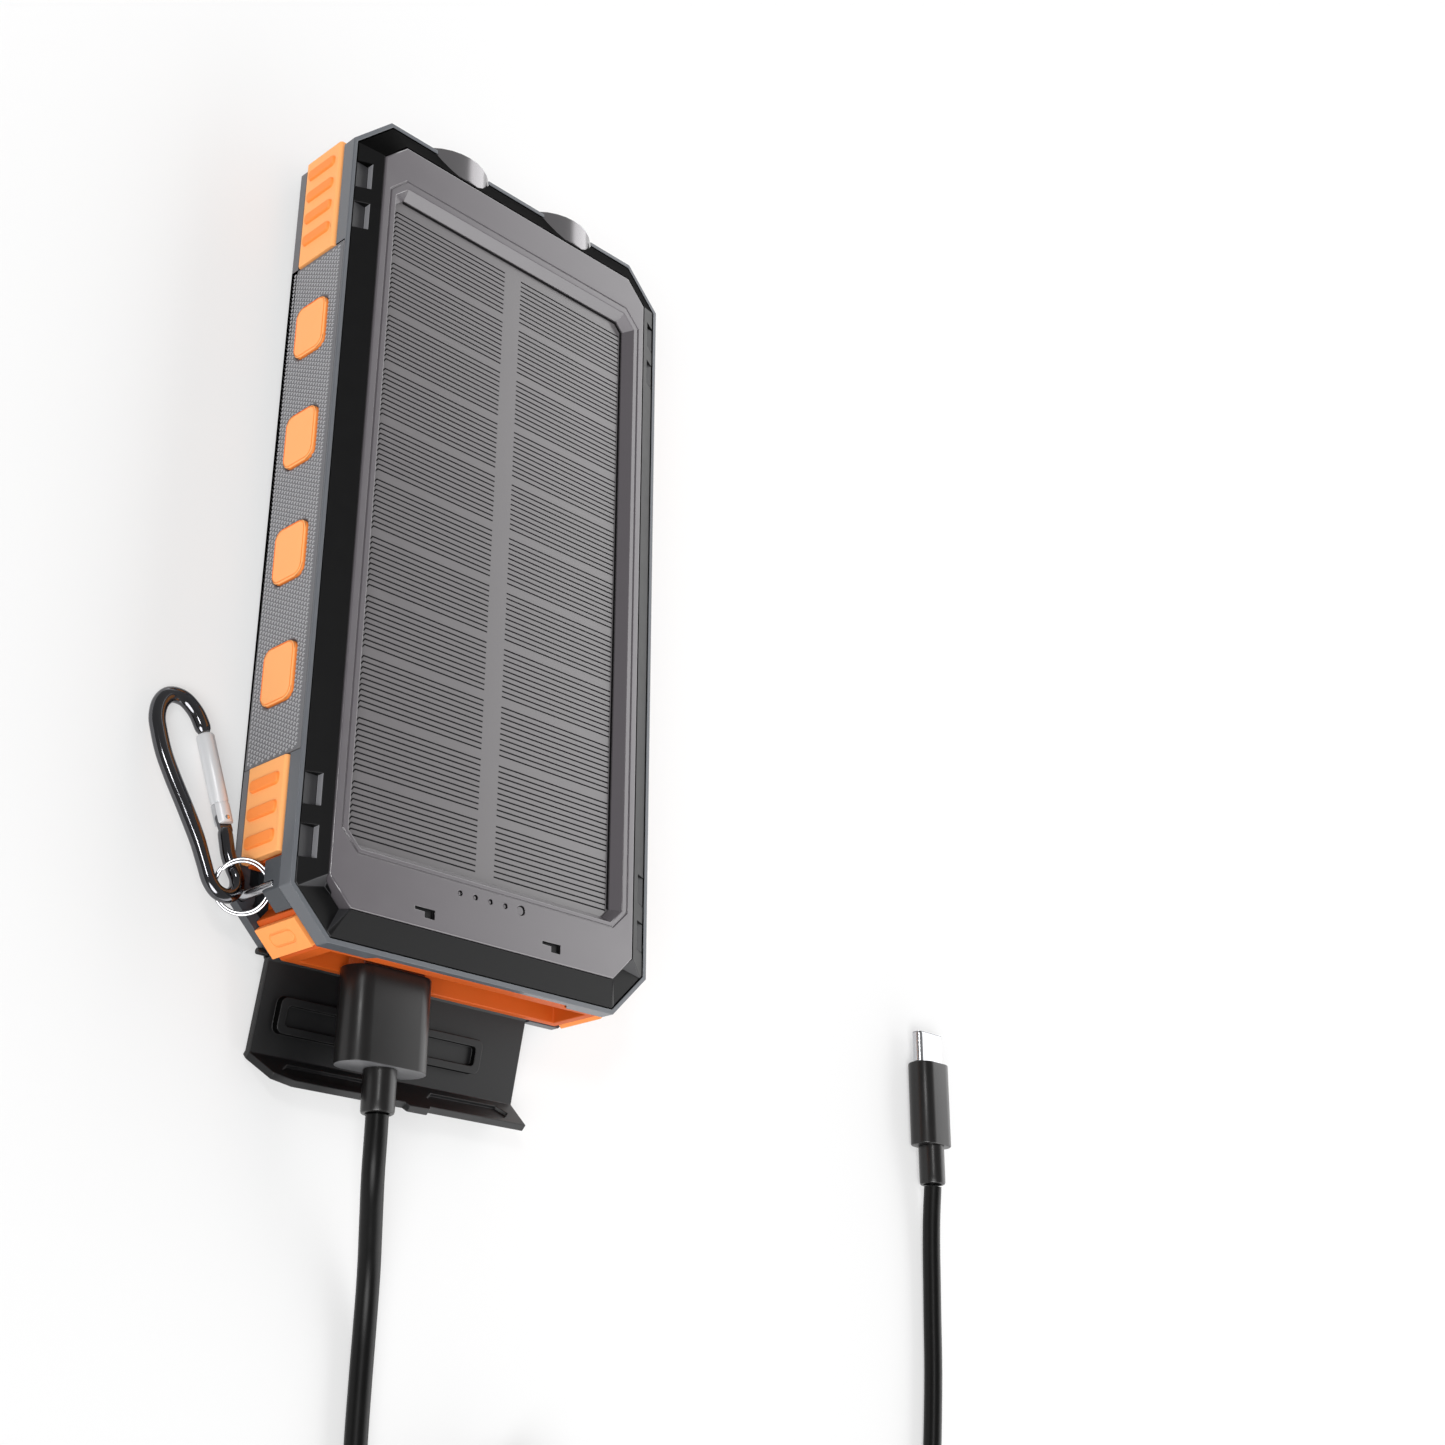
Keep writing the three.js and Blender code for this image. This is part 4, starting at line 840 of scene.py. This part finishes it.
def add_side_strip(side):
    """The strip with its woven relief, sunk a little around each pad."""
    node = f"side_strip_{side}"
    refine(node, "strip", width=0.12)
    low, high = cad_range(node)
    sign = -1 if side == "left" else 1
    ys = np.arange(low[1] + RELIEF_MARGIN, high[1] - RELIEF_MARGIN, RELIEF_STEP)
    zs = np.arange(low[2] + RELIEF_MARGIN, high[2] - RELIEF_MARGIN, RELIEF_STEP)
    y, z = np.meshgrid(ys, zs, indexing="ij")
    lift = weave_lift(y, z)
    for pad in PAD_NODES:
        if side in pad or (side == "right" and pad == "power_button"):
            gap = distance_to_pad(y, z, cad_centre(pad)[1:])
            lift -= GROOVE[1] * np.clip(1 - np.abs(gap - GROOVE_PLACE) / GROOVE[0], 0, 1)
            lift -= UNDER_PAD * (gap < GROOVE_PLACE)
    x = sign * (RELIEF_X + lift)
    rows = [list(zip(x[i], y[i], z[i])) for i in range(len(ys))]
    points, faces = loft(rows, closed=False, caps=False)
    mesh = mesh_of(f"{node}_weave", points, faces, WEAVE_SHARPNESS)
    piece = new_piece(f"{node}_weave", mesh, "strip", "charger")
    add_look(piece, "strip_thread", is_thread)


# ---------------------------------------------------------------- solar panel

LINE_GROUPS = 11
LINES_IN_GROUP = 10
LINE_PITCH = 0.985
GROUP_PITCH = 10.84
LINE_WIDTH = 0.24
FIRST_LINE_Y = -58.7
LEFT_COLUMN = (-27.3, -2.0)
RIGHT_COLUMN = (2.0, 27.3)
LINE_SUNK = 0.05
LINE_HEIGHT = 0.035
PANEL_SHARPNESS = 30  # degrees
PAINTED_SHADOW_STRIPS = (  # a painted shadow line in the gap round the panel, along its top, its top right corner and its right
    ((-26.2, 60.95), (26.05, 60.95), (26.25, 61.4), (-26.2, 61.4)),
    ((26.05, 60.95), (27.5, 59.5), (27.95, 59.7), (26.25, 61.4)),
    ((27.5, -58.4), (27.95, -58.5), (27.95, 59.7), (27.5, 59.5)),
)


def add_line(points, faces, corners, z):
    """A thin raised bar over four corners given anticlockwise."""
    base = len(points)
    points += [(x, y, z - LINE_SUNK) for x, y in corners]
    points += [(x, y, z + LINE_HEIGHT) for x, y in corners]
    faces.append([base + i for i in (4, 5, 6, 7)])
    for i in range(4):
        j = (i + 1) % 4
        faces.append([base + i, base + j, base + 4 + j, base + 4 + i])


def add_solar_panel():
    """The panel, its finger lines, which end in small hooks on the left, and a painted shadow line
    in the gap round it.
    """
    refine("solar_panel", "panel", width=0.1)
    z = cad_range("solar_panel")[1][2]
    fingers = ([], [])
    half = LINE_WIDTH / 2
    for group in range(LINE_GROUPS):
        for line in range(LINES_IN_GROUP):
            y = FIRST_LINE_Y + group * GROUP_PITCH + line * LINE_PITCH
            for x0, x1 in (LEFT_COLUMN, RIGHT_COLUMN):
                bar = [(x0, y - half), (x1, y - half), (x1, y + half), (x0, y + half)]
                add_line(*fingers, bar, z)
                if (x0, x1) == LEFT_COLUMN:
                    hook = [
                        (x0 - 0.55, y - 0.62), (x0 - 0.3, y - 0.68),
                        (x0 + 0.1, y - half), (x0, y + half),
                    ]
                    add_line(*fingers, hook, z)
    gap = ([], [])
    for corners in PAINTED_SHADOW_STRIPS:
        add_line(*gap, corners, z)
    for name, shape, look in (("solar_fingers", fingers, "panel_line"), ("solar_painted_shadow", gap, "band")):
        new_piece(name, mesh_of(name, *shape, PANEL_SHARPNESS), look, "charger")


# ---------------------------------------------------------------- torches

TORCH_SIDES = 64
LED_SIDES = 32
BOWL_STEPS = 12
BOWL_RADII = (1.5, 6.2)  # at the back and at the front
BOWL_BACK = 1  # the bowl begins so far in front of the CAD reflector's back
LENS_DOME = 0.35


def torch_lens_profile(back, front):
    """A lens with rounded edges and a slightly domed front, as (y, radius)."""
    crown = [(back, 7.9), (back + 0.15, 8.05), (front - 0.5, 8.05), (front - LENS_DOME, 7.85)]
    radii = (0.98, 0.85, 0.7, 0.5, 0.3, 0.1)
    return crown + [(front - LENS_DOME * r * r, 7.7 * r) for r in radii]


def torch_bowl(x, z, back, front):
    """A parabolic bowl with a rim and an outside."""
    bowl = []
    start = back + BOWL_BACK
    for i in range(BOWL_STEPS + 1):
        share = i / BOWL_STEPS
        radius = BOWL_RADII[0] + (BOWL_RADII[1] - BOWL_RADII[0]) * math.sqrt(share)
        bowl.append((start + (front - start) * share, radius))
    rim = [(front, 6.35), (front - 0.4, 6.38)]
    outside = [(y - 0.2, r + 0.15) for y, r in reversed(bowl[:-1])]
    points, faces = turned_y(x, z, bowl + rim + outside, TORCH_SIDES, caps=False)
    last = len(points) - TORCH_SIDES
    for i in range(TORCH_SIDES):
        j = (i + 1) % TORCH_SIDES
        faces.append((last + i, last + j, j, i))
    return points, faces


def add_torch(side):
    """The clear lens, the reflector behind it and the light's yellow dome in the middle."""
    lens, reflector = f"torch_lens_{side}", f"torch_reflector_{side}"
    x, _, z = cad_centre(lens)
    shape = turned_y(x, z, torch_lens_profile(*cad_y(lens)), TORCH_SIDES)
    stand_in(f"{lens}_glass", mesh_of("lens", *shape), "lens", lens)
    back, front = cad_y(reflector)
    shape = torch_bowl(x, z, back, front)
    stand_in(f"{reflector}_bowl", mesh_of("bowl", *shape), "mirror", reflector)
    dome = [(0.3, 1.45), (1.5, 1.45), (1.5, 1.2), (1.9, 1.1), (2.2, 0.7), (2.3, 0.2)]
    shape = turned_y(x, z, [(back + y, radius) for y, radius in dome], LED_SIDES)
    new_piece(
        f"torch_led_{side}", mesh_of("led", *shape), "phosphor", "charger"
    )


# ---------------------------------------------------------------- split ring and carabiner

RING_RADIUS = 4.15
RING_WIRE = 0.22
RING_CENTRE = Vector((-38.47, -67.42, 8.41))
RING_NORMAL = Vector((-0.568, -0.39, 0.725)).normalized()
RING_TURNS = 2
RING_STEPS = 96  # in one turn
RING_START = 0.4  # radians
RING_CROSSING = (0.86, 0.28)  # where the step between the turns begins and how long it is, in turns
RING_RADIUS_STEP = 0.42
RING_LAYER_STEP = 0.5


def add_split_ring():
    """Two turns of round wire, the front one a little smaller, with a step where they cross."""
    side = RING_NORMAL.cross(Vector((0, 0, 1))).normalized()
    other = RING_NORMAL.cross(side)
    path = []
    for i in range(RING_STEPS * RING_TURNS + 1):
        turn = i / RING_STEPS
        angle = 2 * math.pi * turn + RING_START
        step = ease((turn - RING_CROSSING[0]) / RING_CROSSING[1]) - 0.5
        radius = RING_RADIUS - RING_RADIUS_STEP * step
        outwards = math.cos(angle) * side + math.sin(angle) * other
        path.append(tuple(RING_CENTRE + radius * outwards + RING_LAYER_STEP * step * RING_NORMAL))
    shape = tube(path, round_section(RING_WIRE, 10), tuple(RING_NORMAL))
    stand_in("split_ring_wire", mesh_of("ring", *shape), "ring_chrome", "split_ring")


CARABINER_EYE = Vector((-39.64, -68.43, 7.53))
CARABINER_ALONG = Vector((-0.303, 0.935, -0.185)).normalized()
LEVEL_ACROSS = Vector((0.952, 0.308, 0))
ALONG_SHARE = LEVEL_ACROSS.dot(CARABINER_ALONG)
CARABINER_ACROSS = (LEVEL_ACROSS - CARABINER_ALONG * ALONG_SHARE).normalized()
CARABINER_NORMAL = CARABINER_ALONG.cross(CARABINER_ACROSS)
WIRE_HALF = (1.38, 1.15)  # in the carabiner's plane and across it
WIRE_ROUTE = [  # along and across, from the gate's hinge round the eye to the gate's free end
    (10.6, 2.15), (8.6, 1.8), (6.2, 1.4), (4, 1.45), (2, 1.6), (0.3, 0.8), (-0.5, -0.9),
    (0.3, -2.5), (2.2, -3.3), (5, -3.35), (9, -3.3), (14, -3.7), (20, -4.4), (24, -4.65),
    (27.6, -4.4), (30.2, -3.95), (32.8, -2.45), (34, -0.4), (33.3, 1.9), (31, 3.3),
    (28.9, 3.7), (27.2, 3.75),
]
WIRE_STEP = 0.45
RING_SIDE_WIDTH = 0.86  # share of the wire's width that it has near the ring
RING_SIDE_STEPS = (40, 20)  # steps with that width, and steps in which it widens
WIRE_END_SIZES = (0.72, 0.9, 0.97)
TONGUE_HALF = (1.9, 1.05)
TONGUE_RADIUS = 0.9
TONGUE_LEVEL = 0.38  # half its thickness
TONGUE_ALONG = 11.4
HINGE = (12, 2.3)
GATE_START = 0.8  # the gate reaches so far past its hinge
GATE_END = (26.85, 3.75)
GATE_RADIUS = 1.45
GATE_SIDES = 12  # of each half
FORK_HALF = 0.55  # half the width of the slot between the fork's prongs
FORK_END = 3.45  # length of the prongs
RIVET = ((-1.5, 0.3), (-1.44, 0.4), (1.44, 0.4), (1.5, 0.3))  # height and radius


def in_carabiner(along, across, normal):
    """A point given along the carabiner's own axes, in the frame."""
    place = CARABINER_EYE.copy()
    axes = (CARABINER_ALONG, CARABINER_ACROSS, CARABINER_NORMAL)
    for amount, axis in zip((along, across, normal), axes):
        place += float(amount) * axis
    return tuple(place)


def add_carabiner():
    """The wire loop, slimmer near the ring and tapered at both ends, with the gate's tongue."""
    route = smooth_path([(along, across, 0) for along, across in WIRE_ROUTE], WIRE_STEP)
    path = [in_carabiner(*place) for place in route]
    scale = np.ones((len(path), 2))
    slim, widening = RING_SIDE_STEPS
    for i in range(slim + widening):
        scale[i, 0] = RING_SIDE_WIDTH + (1 - RING_SIDE_WIDTH) * ease((i - slim) / widening)
    for i, size in enumerate(WIRE_END_SIZES):
        scale[i] *= size
        scale[-1 - i] *= size
    section = [(WIRE_HALF[0] * a, WIRE_HALF[1] * b) for a, b in round_section(1, 24)]
    points, faces = tube(path, section, tuple(CARABINER_NORMAL), scale)
    outline = rounded_outline(*TONGUE_HALF, TONGUE_RADIUS, 6)
    tongue_points, tongue_faces = loft([
        [in_carabiner(TONGUE_ALONG + a, HINGE[1] + b, level) for a, b in outline]
        for level in (-TONGUE_LEVEL, TONGUE_LEVEL)
    ])
    base = len(points)
    points += tongue_points
    faces += [tuple(base + i for i in face) for face in tongue_faces]
    stand_in("carabiner_wire", mesh_of("wire", points, faces), "dark_chrome", "carabiner_body")


def half_gate(sign):
    """One half of the gate, above or below the carabiner's plane by sign."""
    start = Vector((HINGE[0] - GATE_START, HINGE[1]))
    end = Vector(GATE_END)
    direction = (end - start).normalized()
    length = (end - start).length
    near_end = [(0, 0.66), (0.06, 0.85), (0.2, 0.96), (0.45, 1.0)]
    groove = [(3.4, 1.0), (3.5, 0.93), (3.75, 0.93), (4.0, 1.0)]
    far_end = [(0.5, 1.0), (0.22, 0.94), (0.07, 0.82), (0, 0.66)]
    stations = near_end + groove + [(length - before, size) for before, size in far_end]
    rings = []
    for station, size in stations:
        centre = start + direction * station
        is_fork = station < FORK_END
        floor = FORK_HALF if is_fork else 0.0
        begin = math.asin(FORK_HALF / GATE_RADIUS) if is_fork else 0.0
        ring = []
        for i in range(GATE_SIDES + 1):
            angle = begin + (math.pi - 2 * begin) * i / GATE_SIDES
            across = GATE_RADIUS * size * math.cos(angle)
            height = max(GATE_RADIUS * size * math.sin(angle), floor)
            along_place = centre.x - direction.y * across
            across_place = centre.y + direction.x * across
            ring.append(in_carabiner(along_place, across_place, sign * height))
        rings.append(ring)
    return loft(rings)


def add_gate():
    """The sprung gate: a round bar in two halves, forked over the tongue, with a rivet."""
    upper = mesh_of("gate_upper", *half_gate(1))
    stand_in("carabiner_gate_upper", upper, "gate", "carabiner_gate")
    lower = mesh_of("gate_lower", *half_gate(-1))
    new_piece(
        "carabiner_gate_lower", lower, "gate", "carabiner_gate"
    )
    rivet = loft([
        [in_carabiner(HINGE[0] + a, HINGE[1] + b, height) for a, b in round_section(radius, 20)]
        for height, radius in RIVET
    ])
    stand_in("gate_pin_rivet", mesh_of("pin", *rivet), "bright_chrome", "gate_pin")


# ---------------------------------------------------------------- studio floor

FLOOR_SIZE = 6  # metres
FLOOR_GREY = 0.42
FLOOR_GLOW = 0.46


def add_floor():
    """A wide pale floor that glows a little, so that it stays even."""
    bpy.ops.mesh.primitive_plane_add(size=FLOOR_SIZE, location=(0, 0, 0))
    floor = bpy.context.object
    floor.name = "studio_floor"
    look = Look(
        "studio_white", (FLOOR_GREY,) * 3, 0.9,
        Specular_IOR_Level=0.0, Emission_Strength=FLOOR_GLOW,
    )
    floor.data.materials.append(look.material)


add_camera()
add_charging_cable()
add_casing()
add_orange_trim()
for which in ("left", "right"):
    add_side_strip(which)
    add_torch(which)
add_solar_panel()
add_split_ring()
add_carabiner()
add_gate()
add_floor()
add_world()
for key in KEYS:
    add_key(*key)
